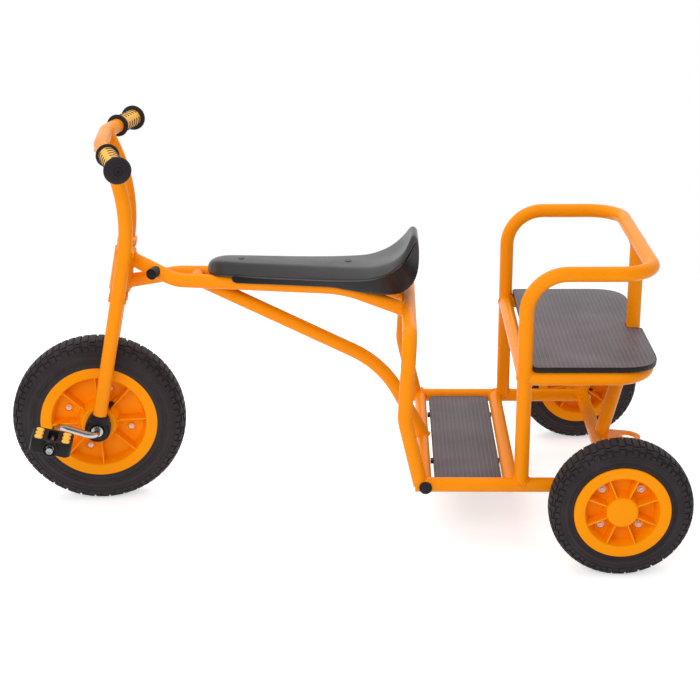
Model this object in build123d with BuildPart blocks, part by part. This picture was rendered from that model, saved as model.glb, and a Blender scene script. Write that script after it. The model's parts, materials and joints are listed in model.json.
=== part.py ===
"""Child's pedal-driven cargo tricycle with a step deck and a railed passenger bench.

Row frame: +X forward, +Y to the rider's left, +Z up, origin on the floor under the middle of the
tricycle. Everything is in millimetres. The welded frame is bent from round tube, and each tube is
coped to the tubes it meets, so that the welded joints seat without overlapping.
"""

from build123d import *
import os
from math import cos, radians, sin, tan

os.makedirs("parts", exist_ok=True)

# ---- driving dimensions -------------------------------------------------------------------------
WHEELBASE = 915.0
TRACK = 583.0  # between the middles of the rear tyres
FRONT_RADIUS = 158.0
REAR_RADIUS = 119.0
FRONT_TYRE_WIDTH = 59.0
REAR_TYRE_WIDTH = 54.0

TUBE = 25.0  # outside diameter of the frame tube
WALL = 2.0
FIT = 0.05  # radial running clearance of a shaft in its bore

HEAD_TILT = 11.8  # the steering axis leans back from upright by this angle
PARKED_TURN = 6.0  # the front wheel stands turned to the left by this angle

RAIL_HEIGHT = REAR_RADIUS  # the side rails run level with the rear axle
RAIL_SIDE = 209.0  # the side rails' distance from the middle plane
INNER = RAIL_SIDE - 3.5  # cross tubes run this far into the side tubes before they are coped
MAIN_FRONT = (156.0, 23.5, 428.4)  # main tubes' front bend: back, out from the middle, up
MAIN_REAR = (454.0, 42.0, 420.1)  # their rear bend
BENCH_HEIGHT = 314.0  # tube that carries the passenger board
GUARD_HEIGHT = 493.5  # top of the guard rail, at the tube's middle

# Distances behind the front axle.
BRIDGE_BACK = 191.0
SADDLE_CLEAR = 1.5  # between the saddle and the tubes that it sits on
HOOP_BACK = 568.0
CROSS_BACK = 595.5
GUARD_BACK = 758.6
BENCH_END_BACK = 970.0

# Front axle's place along the tricycle, which puts the origin under the middle of its length.
FRONT_X = (WHEELBASE + REAR_RADIUS - FRONT_RADIUS) / 2 + 0.4

LEG_SIDE = 54.0  # fork leg's distance from the steering axis
BAR_LEVEL = 518.0  # handlebar's height above the axle, along the steering axis
BAR_REACH = 66.0  # handlebar's distance ahead of the steering axis
BAR_SWEEP = 14.4  # the grips point back by this angle

CRANK = 73.0  # crank length
CRANK_ANGLE = 9.5
CRANK_SIDE = 93.0  # crank arm's distance from the wheel's middle
AXLE = 12.0  # diameter of the cranked axle


def turned(frame, x=0, y=0, z=0):
    """A plane turned about its own axes, in degrees."""
    return Plane(frame.location * Rot(x, y, z))


# The steering's own frame: origin at the wheel's middle, X forward, Y left, Z along the axis.
STRAIGHT_AHEAD = Plane(
    origin=(FRONT_X, 0, FRONT_RADIUS),
    x_dir=(cos(radians(HEAD_TILT)), 0, sin(radians(HEAD_TILT))),
    z_dir=(-sin(radians(HEAD_TILT)), 0, cos(radians(HEAD_TILT))),
)
STEERING = turned(STRAIGHT_AHEAD, z=PARKED_TURN)

LEFT, RIGHT = 1, -1
SIDES = (("left", LEFT), ("right", RIGHT))

outlines = {}  # solid outline of every tube, for coping what meets it


def back(distance, side, height):
    """Point in the row frame, given by its distance behind the front axle."""
    return (FRONT_X - distance, side, height)


def head_back(height):
    """How far behind the front axle the steering axis is at a height."""
    return (height - FRONT_RADIUS) * tan(radians(HEAD_TILT))


def finish(part, label):
    """Label one piece and write its STEP file."""
    part.label = label
    export_step(part, f"parts/{label}.step")


def bar(points, bends, radius, frame=Plane.XY):
    """Round bar swept along straight runs joined by tangent bends."""
    with BuildPart() as swept:
        with BuildLine(frame) as route:
            if bends:
                FilletPolyline(*points, radius=bends)
            else:
                Polyline(*points)
        path = route.wire()
        with BuildSketch(Plane(path @ 0, z_dir=path % 0)):
            Circle(radius)
        sweep(path=path)
    return swept.part


def tube(label, points, bends=None, diameter=TUBE, frame=Plane.XY, against=()):
    """Hollow bent tube, coped against the outlines of the tubes it is welded to."""
    outlines[label] = bar(points, bends, diameter / 2, frame)
    with BuildPart() as hollow:
        add(outlines[label])
        add(bar(points, bends, diameter / 2 - WALL, frame), mode=Mode.SUBTRACT)
        for neighbour in against:
            add(outlines[neighbour], mode=Mode.SUBTRACT)
    whole = hollow.part.solids().sort_by(SortBy.VOLUME)[-1]
    finish(Part(whole.wrapped), label)
    return hollow


def profile_plane(frame):
    """Plane for a turned piece's profile: X is its radius, Y lies along the frame's Z axis."""
    return Plane(origin=frame.origin, x_dir=frame.x_dir, z_dir=-frame.y_dir)


def spin_axis(frame):
    return Axis(frame.origin, frame.z_dir)


# ---- frame: rails, hoops and rear structure -----------------------------------------------------
def side_rails():
    for name, side in SIDES:
        y = side * RAIL_SIDE
        tube(
            f"deck_rail_{name}",
            [back(578, y, RAIL_HEIGHT), back(WHEELBASE, y, RAIL_HEIGHT)],
            against=["axle_tube", "deck_cross_tube_front"],
        )


def axle_tube():
    end = TRACK / 2 - 28
    tube(
        "axle_tube",
        [back(WHEELBASE, -end, RAIL_HEIGHT), back(WHEELBASE, end, RAIL_HEIGHT)],
    )


def deck_cross_tubes():
    """The front one runs through both rails and is plugged, the rear one stops between them."""
    reach = RAIL_SIDE + TUBE / 2
    tube(
        "deck_cross_tube_front",
        [back(CROSS_BACK, -reach, RAIL_HEIGHT), back(CROSS_BACK, reach, RAIL_HEIGHT)],
        diameter=22,
    )


def deck_rear_cross_tube():
    tube(
        "deck_cross_tube_rear",
        [back(742, -INNER, RAIL_HEIGHT), back(742, INNER, RAIL_HEIGHT)],
        against=["deck_rail_left", "deck_rail_right"],
    )


def upright_hoop():
    """Bent hoop that carries the rear of the saddle tubes on the fronts of the side rails."""
    half = [
        back(587, RAIL_SIDE, RAIL_HEIGHT),
        back(559.5, RAIL_SIDE, 238),
        back(HOOP_BACK, RAIL_SIDE, 384),
    ]
    other = [(x, -y, z) for x, y, z in reversed(half)]
    tube(
        "upright_hoop",
        half + other,
        bends=[80, 38, 38, 80],
        against=["deck_rail_left", "deck_rail_right", "deck_cross_tube_front"],
    )


def guard_rail():
    """One tube: up from the left side rail, back, across behind the bench, and down again."""
    half = [
        back(GUARD_BACK, RAIL_SIDE, RAIL_HEIGHT),
        back(GUARD_BACK, RAIL_SIDE, GUARD_HEIGHT),
        back(968, RAIL_SIDE, GUARD_HEIGHT),
    ]
    other = [(x, -y, z) for x, y, z in reversed(half)]
    tube(
        "guard_rail",
        half + other,
        bends=[66, 60, 60, 66],
        against=["deck_rail_left", "deck_rail_right", "deck_cross_tube_rear"],
    )


def bench_support():
    corner = back(BENCH_END_BACK, RAIL_SIDE, BENCH_HEIGHT)
    half = [back(GUARD_BACK, RAIL_SIDE, BENCH_HEIGHT), corner]
    other = [(x, -y, z) for x, y, z in reversed(half)]
    tube("bench_support_tube", half + other, bends=[65, 65], against=["guard_rail"])
    tube(
        "bench_cross_tube",
        [
            back(GUARD_BACK, -INNER, BENCH_HEIGHT),
            back(GUARD_BACK, INNER, BENCH_HEIGHT),
        ],
        against=["guard_rail", "bench_support_tube"],
    )
    tube(
        "guard_post",
        [back(969, 0, GUARD_HEIGHT), back(BENCH_END_BACK, 0, BENCH_HEIGHT)],
        against=["guard_rail", "bench_support_tube"],
    )
    tube(
        "bench_strut",
        [back(922, 0, RAIL_HEIGHT + 4), back(967, 0, BENCH_HEIGHT - 6)],
        against=["axle_tube", "bench_support_tube"],
    )


# ---- frame: front ------------------------------------------------------------------------------
HEAD_LOW, HEAD_HIGH = 252.0, 330.0  # head tube's ends, along the steering axis
HEAD_TUBE = 38.0
STEERER = 20.0


def head_tube():
    with BuildPart() as head:
        with BuildSketch(STEERING.offset(HEAD_LOW)):
            Circle(HEAD_TUBE / 2)
        extrude(amount=HEAD_HIGH - HEAD_LOW)
    outlines["head_tube"] = head.part
    with BuildPart() as bored:
        add(head.part)
        with BuildSketch(STEERING.offset(HEAD_LOW)):
            Circle(STEERER / 2 + FIT)
        extrude(amount=HEAD_HIGH - HEAD_LOW, mode=Mode.SUBTRACT)
    finish(bored.part, "head_tube")


def main_tube_at(distance, side=0):
    """Middle of a main tube's straight run under the saddle, at this distance behind the axle."""
    share = (distance - MAIN_FRONT[0]) / (MAIN_REAR[0] - MAIN_FRONT[0])
    out, up = (a + (b - a) * share for a, b in zip(MAIN_FRONT[1:], MAIN_REAR[1:]))
    return back(distance, side * out, up)


def main_tubes():
    """The left tube leaves the top of the head tube, the right one its bottom."""
    for name, side, height in (("left", LEFT, 466.0), ("right", RIGHT, 418.5)):
        tube(
            f"main_tube_{name}",
            [
                back(head_back(height) + 6, side * 2, height),
                main_tube_at(MAIN_FRONT[0], side),
                main_tube_at(MAIN_REAR[0], side),
                back(562, side * 44, 379.5),
            ],
            bends=[75, 190],
            against=["head_tube", "upright_hoop"],
        )
    x, out, up = main_tube_at(BRIDGE_BACK, LEFT)
    tube(
        "main_bridge",
        [(x, 3.5 - out, up), (x, out - 3.5, up)],
        diameter=22,
        against=["main_tube_left", "main_tube_right"],
    )


def diagonal_tube():
    tube(
        "diagonal_tube",
        [
            back(BRIDGE_BACK - 3, 0, 426),
            back(522, 0, 262),
            back(596, 0, RAIL_HEIGHT + 3),
        ],
        bends=[185],
        against=[
            "main_bridge",
            "main_tube_left",
            "main_tube_right",
            "deck_cross_tube_front",
        ],
    )


# ---- steering ----------------------------------------------------------------------------------
LEG_FOOT = 18.0
LEG_BEND_START = 328.0
LEG_BEND = 305.0
HOUSING_RADIUS = 23.5
HOUSING_IN, HOUSING_OUT = 42.0, 66.0
CROWN_THICK = 8.0


def bearing_housings():
    for name, side in SIDES:
        frame = Plane(
            origin=STEERING.from_local_coords((0, side * HOUSING_IN, 0)),
            x_dir=STEERING.x_dir,
            z_dir=STEERING.y_dir * side,
        )
        with BuildPart() as housing:
            with BuildSketch(frame):
                Circle(HOUSING_RADIUS)
            extrude(amount=HOUSING_OUT - HOUSING_IN)
            fillet(housing.edges().filter_by(GeomType.CIRCLE), 2)
        outlines[f"bearing_housing_{name}"] = housing.part
        with BuildPart() as bored:
            add(housing.part)
            with BuildSketch(frame):
                Circle(AXLE / 2 + FIT)
            extrude(amount=HOUSING_OUT - HOUSING_IN, mode=Mode.SUBTRACT)
        finish(bored.part, f"bearing_housing_{name}")


def handlebar_end(side, along):
    """Point on the handlebar's swept end, at a distance from the bend."""
    sweep_back = radians(BAR_SWEEP)
    return (
        BAR_REACH - along * sin(sweep_back),
        side * (LEG_SIDE + along * cos(sweep_back)),
        BAR_LEVEL,
    )


BAR_END = 162.0  # handlebar's end, measured from its bend


def handlebar():
    tube(
        "handlebar",
        [
            handlebar_end(LEFT, BAR_END),
            handlebar_end(LEFT, 0),
            handlebar_end(RIGHT, 0),
            handlebar_end(RIGHT, BAR_END),
        ],
        bends=[90, 90],
        frame=STEERING,
    )


def fork_legs():
    """Straight beside the wheel and the head, then bent forward to the handlebar."""
    turn_height = LEG_BEND_START + 104
    for name, side in SIDES:
        y = side * LEG_SIDE
        tube(
            f"fork_leg_{name}",
            [(0, y, LEG_FOOT), (0, y, turn_height), (BAR_REACH - 1, y, BAR_LEVEL - 1)],
            bends=[LEG_BEND],
            frame=STEERING,
            against=["handlebar", f"bearing_housing_{name}"],
        )


def crown_and_steerer():
    """Two plates join the fork legs above and below the head, and a bolt runs through them."""
    for name, level in (
        ("lower", HEAD_LOW - 1 - CROWN_THICK),
        ("upper", HEAD_HIGH + 1),
    ):
        with BuildPart() as plate:
            with BuildSketch(STEERING.offset(level)):
                Rectangle(32, 2 * LEG_SIDE)
                Circle(STEERER / 2, mode=Mode.SUBTRACT)
            extrude(amount=CROWN_THICK)
            for side in ("left", "right"):
                add(outlines[f"fork_leg_{side}"], mode=Mode.SUBTRACT)
        finish(plate.part.solids().sort_by(SortBy.VOLUME)[-1], f"crown_{name}")
    with BuildPart() as steerer:
        with BuildSketch(STEERING.offset(HEAD_LOW - 1 - CROWN_THICK)):
            Circle(STEERER / 2)
        extrude(amount=HEAD_HIGH - HEAD_LOW + 2 + 2 * CROWN_THICK)
        for level in (HEAD_LOW - 1 - CROWN_THICK - 10, HEAD_HIGH + 1 + CROWN_THICK):
            with BuildSketch(STEERING.offset(level)):
                RegularPolygon(17, 6)
            extrude(amount=10)
    finish(steerer.part, "steerer_bolt")


GRIP_START, GRIP_LENGTH = 62.0, 100.0


def grips():
    for name, side in SIDES:
        start = STEERING.from_local_coords(handlebar_end(side, GRIP_START))
        end = STEERING.from_local_coords(handlebar_end(side, GRIP_START + 1))
        frame = Plane(origin=start, x_dir=STEERING.z_dir, z_dir=end - start)
        with BuildPart() as grip:
            with BuildSketch(profile_plane(frame)):
                with BuildLine():
                    Polyline(
                        (TUBE / 2, 0),
                        (20, 0),
                        (20, 7),
                        (16, 7),
                        (16, GRIP_LENGTH - 10),
                        (22.8, GRIP_LENGTH - 10),
                        (22.8, GRIP_LENGTH),
                        (0, GRIP_LENGTH + 1),
                        (0, BAR_END - GRIP_START),
                        (TUBE / 2, BAR_END - GRIP_START),
                        close=True,
                    )
                make_face()
            revolve(axis=spin_axis(frame))
        finish(grip.part, f"grip_{name}")


# ---- wheels ------------------------------------------------------------------------------------
def tyre(label, frame, radius, width, seat, bead):
    """Full-shouldered tyre whose beads sit on the rim's seat between its flanges."""
    neck = seat + 8
    middle = (neck + radius) / 2 + 2
    with BuildPart() as turned:
        with BuildSketch(profile_plane(frame)):
            with BuildLine():
                Polyline((neck, bead), (seat, bead), (seat, -bead), (neck, -bead))
                Spline(
                    (neck, -bead),
                    (middle, -width / 2),
                    (radius - 5, -width * 0.33),
                    (radius, 0),
                    (radius - 5, width * 0.33),
                    (middle, width / 2),
                    (neck, bead),
                )
            make_face()
        revolve(axis=spin_axis(frame))
    finish(turned.part, label)


def rim(
    label, frame, seat, flange, ring, hub, hub_half, bore, bolt_circle, bolt_turn, half
):
    """Moulded wheel: flat ring, sunk web with eight ribs, bolt bosses and a hub."""
    with BuildPart() as wheel:
        with BuildSketch(profile_plane(frame)):
            with BuildLine():
                Polyline(
                    (bore, -hub_half),
                    (hub, -hub_half),
                    (hub, -3),
                    (ring - 6, -3),
                    (ring, -half - 3),
                    (flange, -half - 3),
                    (flange, -half),
                    (seat, -half),
                    (seat, half),
                    (flange, half),
                    (flange, half + 3),
                    (ring, half + 3),
                    (ring - 6, 3),
                    (hub, 3),
                    (hub, hub_half),
                    (bore, hub_half),
                    close=True,
                )
            make_face()
        revolve(axis=spin_axis(frame))
        with BuildSketch(turned(frame, z=bolt_turn + 22.5)):
            with PolarLocations((ring + hub) / 2 - 1, 8):
                Rectangle(ring - hub, 5)
        extrude(amount=half - 5, both=True)
        with BuildSketch(turned(frame, z=bolt_turn)):
            with PolarLocations(bolt_circle / 2, 4):
                Circle(8)
        extrude(amount=6, both=True)
    finish(wheel.part, label)


def front_wheel():
    frame = Plane(
        origin=STEERING.origin, x_dir=STEERING.x_dir, z_dir=STEERING.y_dir
    )
    tyre("front_tyre", frame, FRONT_RADIUS, FRONT_TYRE_WIDTH, seat=99, bead=23.5)
    rim(
        "front_rim",
        frame,
        seat=99,
        flange=107,
        ring=86,
        hub=31,
        hub_half=36,
        bore=AXLE / 2,
        bolt_circle=120,
        bolt_turn=-8.5,
        half=24,
    )


def cranked_axle():
    """One forged bar: pedal spindle, crank arm, wheel axle, opposite arm and spindle."""
    x = CRANK * cos(radians(CRANK_ANGLE))
    z = CRANK * sin(radians(CRANK_ANGLE))
    spindle_end = 203
    with BuildPart() as axle:
        add(
            bar(
                [
                    (x, spindle_end, z),
                    (x, CRANK_SIDE, z),
                    (0, CRANK_SIDE, 0),
                    (0, -CRANK_SIDE, 0),
                    (-x, -CRANK_SIDE, -z),
                    (-x, -spindle_end, -z),
                ],
                [19, 19, 19, 19],
                AXLE / 2,
                STEERING,
            )
        )
        for side in (LEFT, RIGHT):
            collar = Plane(
                origin=STEERING.from_local_coords((0, side * (HOUSING_OUT + 0.5), 0)),
                x_dir=STEERING.x_dir,
                z_dir=STEERING.y_dir * side,
            )
            with BuildSketch(collar):
                Circle(10.5)
            extrude(amount=3)
            washer = Plane(
                origin=STEERING.from_local_coords((side * x, side * 136, side * z)),
                x_dir=STEERING.x_dir,
                z_dir=STEERING.y_dir * side,
            )
            with BuildSketch(washer):
                Circle(9.5)
            extrude(amount=3)
    finish(axle.part, "cranked_axle")


PEDAL_IN, PEDAL_OUT = 139.5, 191.5
PEDAL_LENGTH, PEDAL_THICK = 70.0, 27.0
PEDAL_TILT = 3.0


def pedals():
    x = CRANK * cos(radians(CRANK_ANGLE))
    z = CRANK * sin(radians(CRANK_ANGLE))
    for name, side in SIDES:
        # Spindle's own frame: X along the pedal, Z out along the spindle.
        middle = (side * x, side * (PEDAL_IN + PEDAL_OUT) / 2, side * z)
        level = turned(STEERING, y=-PEDAL_TILT)
        top = Plane(
            origin=STEERING.from_local_coords(middle),
            x_dir=level.x_dir,
            z_dir=level.z_dir,
        )
        spindle = Plane(origin=top.origin, x_dir=top.x_dir, z_dir=top.y_dir)
        width = PEDAL_OUT - PEDAL_IN
        with BuildPart() as block:
            with BuildSketch(top):
                RectangleRounded(PEDAL_LENGTH, width, 5)
            extrude(amount=PEDAL_THICK / 2, both=True)
            with BuildSketch(top):
                RectangleRounded(17, width - 12, 3)
            extrude(amount=PEDAL_THICK, both=True, mode=Mode.SUBTRACT)
            with BuildSketch(spindle):
                Circle(AXLE / 2 + FIT)
            extrude(amount=width, both=True, mode=Mode.SUBTRACT)
        finish(block.part, f"pedal_{name}")
        with BuildPart() as pads:
            for face in (1, -1):
                with BuildSketch(top.offset(face * PEDAL_THICK / 2)):
                    with GridLocations(46, 0, 2, 1):
                        RectangleRounded(14, width - 8, 3)
                extrude(amount=face * 2.5)
        finish(pads.part, f"pedal_pads_{name}")
    with BuildPart() as nuts:
        for side in (LEFT, RIGHT):
            frame = Plane(
                origin=STEERING.from_local_coords((side * x, side * 192, side * z)),
                x_dir=STEERING.x_dir,
                z_dir=STEERING.y_dir * side,
            )
            with BuildSketch(frame):
                RegularPolygon(8.5, 6)
                Circle(AXLE / 2, mode=Mode.SUBTRACT)
            extrude(amount=8)
    finish(nuts.part, "pedal_nuts")


REAR_AXLE = 15.0
CAP_FACE = 26.5  # hub cap's flat face, from the wheel's middle


def rear_wheels():
    for name, side in SIDES:
        frame = Plane(
            origin=back(WHEELBASE, side * TRACK / 2, REAR_RADIUS),
            x_dir=(1, 0, 0),
            z_dir=(0, side, 0),
        )
        tyre(
            f"rear_tyre_{name}", frame, REAR_RADIUS, REAR_TYRE_WIDTH, seat=73, bead=22.5
        )
        rim(
            f"rear_rim_{name}",
            frame,
            seat=73,
            flange=81,
            ring=63,
            hub=24,
            hub_half=20,
            bore=REAR_AXLE / 2 + FIT,
            bolt_circle=90,
            bolt_turn=45,
            half=23,
        )
        with BuildPart() as cap:
            with BuildSketch(profile_plane(frame)):
                with BuildLine():
                    Polyline(
                        (0, 23.5),
                        (0, CAP_FACE),
                        (21, CAP_FACE),
                        (24, CAP_FACE - 3),
                        (24, 20.2),
                        (21.5, 20.2),
                        (21.5, 23.5),
                        close=True,
                    )
                make_face()
            revolve(axis=spin_axis(frame))
        finish(cap.part, f"hub_cap_{name}")


def rear_axle():
    """Steel shaft through the axle tube, with a seat in each end of the tube."""
    tube_end = TRACK / 2 - 28
    with BuildPart() as shaft:
        middle = Plane(
            origin=back(WHEELBASE, 0, RAIL_HEIGHT), x_dir=(1, 0, 0), z_dir=(0, 1, 0)
        )
        with BuildSketch(middle):
            Circle(REAR_AXLE / 2)
        extrude(amount=TRACK / 2 + 20.5, both=True)
        for side in (LEFT, RIGHT):
            seat = Plane(
                origin=back(WHEELBASE, side * (tube_end - 30), RAIL_HEIGHT),
                x_dir=(1, 0, 0),
                z_dir=(0, side, 0),
            )
            with BuildSketch(seat):
                Circle(TUBE / 2 - WALL)
            extrude(amount=30)
            with BuildSketch(seat.offset(30)):
                Circle(12)
            extrude(amount=7.5)
            with BuildSketch(seat.offset(30 + 28 + 20.5)):
                Circle(11)
            extrude(amount=2)
    finish(shaft.part, "rear_axle")


# ---- boards, saddle and small pieces ------------------------------------------------------------
def boards():
    top = RAIL_HEIGHT + 4
    with BuildPart() as deck:
        with BuildSketch(Plane(back(669.5, 0, top - 10))):
            RectangleRounded(115, 388, 12)
        extrude(amount=10)
    finish(deck.part, "deck_board")

    under = BENCH_HEIGHT + TUBE / 2
    front, rear, half = GUARD_BACK + TUBE / 2 + 1, 984, 219.0
    with BuildPart() as bench:
        with BuildSketch(Plane.XY.offset(under)) as outline:
            with Locations(back((front + rear) / 2, 0, 0)[:2]):
                Rectangle(rear - front, 2 * half)
            fillet(outline.vertices().group_by(Axis.X)[0], 64)
            fillet(outline.vertices().group_by(Axis.X)[-1], 8)
            with Locations(back(BENCH_END_BACK, 0, 0)[:2]):
                Circle(TUBE / 2 + 1, mode=Mode.SUBTRACT)
            with Locations(back(BENCH_END_BACK + 20, 0, 0)[:2]):
                Rectangle(40, TUBE + 2, mode=Mode.SUBTRACT)
        extrude(amount=9.5)
    finish(bench.part, "bench_board")


def deck_clips():
    with BuildPart() as clips:
        for distance in (CROSS_BACK + 11 + 3, 742 - 12.5 - 1.5):
            with BuildSketch(Plane(back(distance, 0, RAIL_HEIGHT - 4))):
                with GridLocations(0, 215, 1, 2):
                    Rectangle(4.5 if distance < 700 else 1.8, 12)
            extrude(amount=6)
    finish(clips.part, "deck_clips")


SADDLE_LIP = [
    # distance behind the axle, shoulder half width, its height, edge half width, its height
    (212, 5, 449, 9, 443),
    (217, 13, 455, 24, 442),
    (228, 20, 459.5, 34, 442),
    (245, 25, 461, 41, 442.5),
    (275, 27.5, 460, 48.5, 443.5),
    (326, 28.5, 458.5, 57, 443.5),
    (377, 30, 457, 64, 443.5),
    (428, 33.5, 455.8, 70.5, 443),
    (478, 39, 455.5, 76.5, 444.5),
    (504, 44, 457.5, 79.5, 447.5),
    (529, 51, 465.5, 80, 455),
    (545, 54, 475, 77, 463.5),
    (558, 53, 486.5, 70, 474),
    (569, 46, 499, 56, 488),
    (577, 36, 509, 43, 500),
    (582, 25, 514, 31, 508),
]
SADDLE_PAN = [
    # distance behind the axle, half width under the lip, height there, half width below, underside
    (257, 43, 446, 43.5, 434),
    (263, 45.5, 446, 46, 429.5),
    (330, 54, 446, 52, 428.5),
    (380, 60.5, 446, 56, 427.2),
    (430, 67, 446, 60, 426),
    (480, 73, 448, 64, 417.5),
    (505, 76, 452, 65, 413.5),
    (530, 76, 459, 61, 412.5),
    (552, 70, 473, 54, 417),
    (568, 56, 490, 45, 428),
    (578, 42, 503, 36, 444),
    (583, 30, 508, 28, 464),
]


def saddle_section(distance, top_half, top, edge_half, edge, under, crown):
    """Cross section of the saddle: arched top, sloping flanks, flat underside, soft corners."""
    frame = Plane(origin=back(distance, 0, 0), x_dir=(0, 1, 0), z_dir=(1, 0, 0))
    with BuildSketch(frame) as section:
        with BuildLine():
            ThreePointArc((-top_half, top), (0, top + crown), (top_half, top))
            Polyline(
                (top_half, top),
                (edge_half, edge),
                (edge_half - 3, under),
                (3 - edge_half, under),
                (-edge_half, edge),
                (-top_half, top),
            )
        make_face()
        fillet(section.vertices(), 1.2)
    return section.sketch


def saddle():
    """Moulded saddle: a lip with sloping flanks, a pan below it, tail turned up, open over the tubes."""
    with BuildPart() as shell:
        loft(
            [
                saddle_section(distance, half, top, edge_half, edge, edge - 4, 1.2)
                for distance, half, top, edge_half, edge in SADDLE_LIP
            ]
        )
        loft(
            [
                saddle_section(distance, half, top, low_half + 1, low + 3, low, 0.2)
                for distance, half, top, low_half, low in SADDLE_PAN
            ]
        )
        tubes = Plane(
            origin=main_tube_at(378), x_dir=(1, 0, 0.028), z_dir=(-0.028, 0, 1)
        )
        front, rear = 40.5, MAIN_REAR[1] + TUBE / 2 + SADDLE_CLEAR
        with BuildSketch(tubes.offset(-40)):
            Polygon(
                (173, -front),
                (173, front),
                (378 - MAIN_REAR[0], rear),
                (-167, rear),
                (-167, -rear),
                (378 - MAIN_REAR[0], -rear),
                align=None,
            )
        extrude(amount=40 + TUBE / 2 + SADDLE_CLEAR / 2, mode=Mode.SUBTRACT)
    outlines["saddle"] = shell.part
    finish(shell.part, "saddle")


def bumpers():
    """Rubber stops on the main tubes that the fork legs meet at full lock."""
    for name, side, height in (("left", LEFT, 444), ("right", RIGHT, 425)):
        frame = Plane(
            origin=back(123, side * 19.5, height),
            x_dir=(0, 0, 1),
            z_dir=(0.3, side, 0),
        )
        with BuildPart() as bumper:
            with BuildSketch(frame):
                Circle(9.8)
            extrude(amount=22)
            add(outlines[f"main_tube_{name}"], mode=Mode.SUBTRACT)
        finish(bumper.part.solids().sort_by(SortBy.VOLUME)[-1], f"bumper_{name}")


def plugs():
    """Black plugs in the ends of the front cross tube and the rail fronts."""
    with BuildPart() as caps:
        for side in (LEFT, RIGHT):
            frame = Plane(
                origin=back(CROSS_BACK, side * (RAIL_SIDE + TUBE / 2), RAIL_HEIGHT),
                x_dir=(1, 0, 0),
                z_dir=(0, side, 0),
            )
            with BuildSketch(frame):
                Circle(11)
            extrude(amount=3)
    finish(caps.part, "tube_plugs")


HITCH_SLOPE = 5.0  # the eye plate runs down to the rear by this angle
EYE = 58.0  # from the axle to the eye's middle, along the plate


def hitch():
    slope = radians(HITCH_SLOPE)
    level = Plane(
        origin=back(WHEELBASE, 0, RAIL_HEIGHT + 2),
        x_dir=(-cos(slope), 0, -sin(slope)),
        z_dir=(-sin(slope), 0, cos(slope)),
    )
    with BuildPart() as plate:
        with BuildSketch(level):
            with Locations((EYE / 2, 0)):
                Rectangle(EYE, 45)
            with Locations((EYE, 0)):
                Circle(22.5)
                Circle(14, mode=Mode.SUBTRACT)
        extrude(amount=6)
        for neighbour in ("axle_tube", "bench_strut"):
            add(outlines[neighbour], mode=Mode.SUBTRACT)
    finish(plate.part.solids().sort_by(SortBy.VOLUME)[-1], "hitch_plate")


axle_tube()
deck_cross_tubes()
side_rails()
deck_rear_cross_tube()
guard_rail()
upright_hoop()
bench_support()
head_tube()
main_tubes()
diagonal_tube()
bearing_housings()
handlebar()
fork_legs()
crown_and_steerer()
grips()
front_wheel()
cranked_axle()
pedals()
rear_wheels()
rear_axle()
boards()
deck_clips()
saddle()
bumpers()
plugs()
hitch()
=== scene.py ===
"""Dresses a child's pedal cargo tricycle around its fixed frame model.

The tricycle stands on its wheels with +X forward, +Y to the rider's left and +Z up, in metres.
Each operator below makes one piece, or one group of like pieces, and the last one sets the stage.
"""

import json
import math

import bmesh
import bpy
import numpy as np
from bpy.props import FloatProperty, FloatVectorProperty, IntProperty, PointerProperty
from mathutils import Euler, Matrix


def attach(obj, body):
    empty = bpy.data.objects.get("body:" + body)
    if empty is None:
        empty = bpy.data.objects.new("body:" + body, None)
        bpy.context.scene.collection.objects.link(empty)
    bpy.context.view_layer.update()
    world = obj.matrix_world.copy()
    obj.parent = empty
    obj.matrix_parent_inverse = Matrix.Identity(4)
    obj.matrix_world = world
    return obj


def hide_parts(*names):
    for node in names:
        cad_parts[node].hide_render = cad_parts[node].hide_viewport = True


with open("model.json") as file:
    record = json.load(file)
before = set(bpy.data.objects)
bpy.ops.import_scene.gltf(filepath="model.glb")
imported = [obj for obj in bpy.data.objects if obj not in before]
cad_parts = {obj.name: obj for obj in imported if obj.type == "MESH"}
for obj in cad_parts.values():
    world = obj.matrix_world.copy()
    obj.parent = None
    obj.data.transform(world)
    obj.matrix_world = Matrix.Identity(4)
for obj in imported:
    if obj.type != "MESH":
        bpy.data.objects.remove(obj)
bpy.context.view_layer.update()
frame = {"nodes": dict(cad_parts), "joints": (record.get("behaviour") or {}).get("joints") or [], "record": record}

bl_info = {
    "name": "Cargo Tricycle Dressing",
    "version": (1, 0, 0),
    "blender": (4, 5, 0),
    "location": "View3D > Sidebar > Tricycle",
    "description": "Tyres, wheels, saddle, grips, pedals, boards and finishes for a cargo tricycle",
    "category": "Object",
}

JOINTS = {joint["name"]: joint for joint in frame["joints"]}
SIDES = (("left", 1.0), ("right", -1.0))
MM = 0.001
WELD = 2e-6  # points nearer than this are one point


# ---- frames and grids ---------------------------------------------------------------------------
def unit(vector):
    """The vector divided by its length."""
    vector = np.asarray(vector, dtype=float)
    return vector / np.linalg.norm(vector)


def stand(origin, z, x):
    """A right-handed frame as four rows: origin, then unit x, y and z, with x made square to z."""
    z, x = unit(z), np.asarray(x, dtype=float)
    x = unit(x - z * np.dot(x, z))
    return np.array([np.asarray(origin, dtype=float), x, np.cross(z, x), z])


def place(points, where):
    """Local points to the tricycle's frame: origin plus each coordinate times its own axis."""
    return where[0] + np.asarray(points) @ where[1:]


def shifted(where, x=0.0, y=0.0, z=0.0):
    """The same frame with its origin moved along its own axes."""
    moved = where.copy()
    moved[0] = place((x, y, z), where)
    return moved


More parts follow.
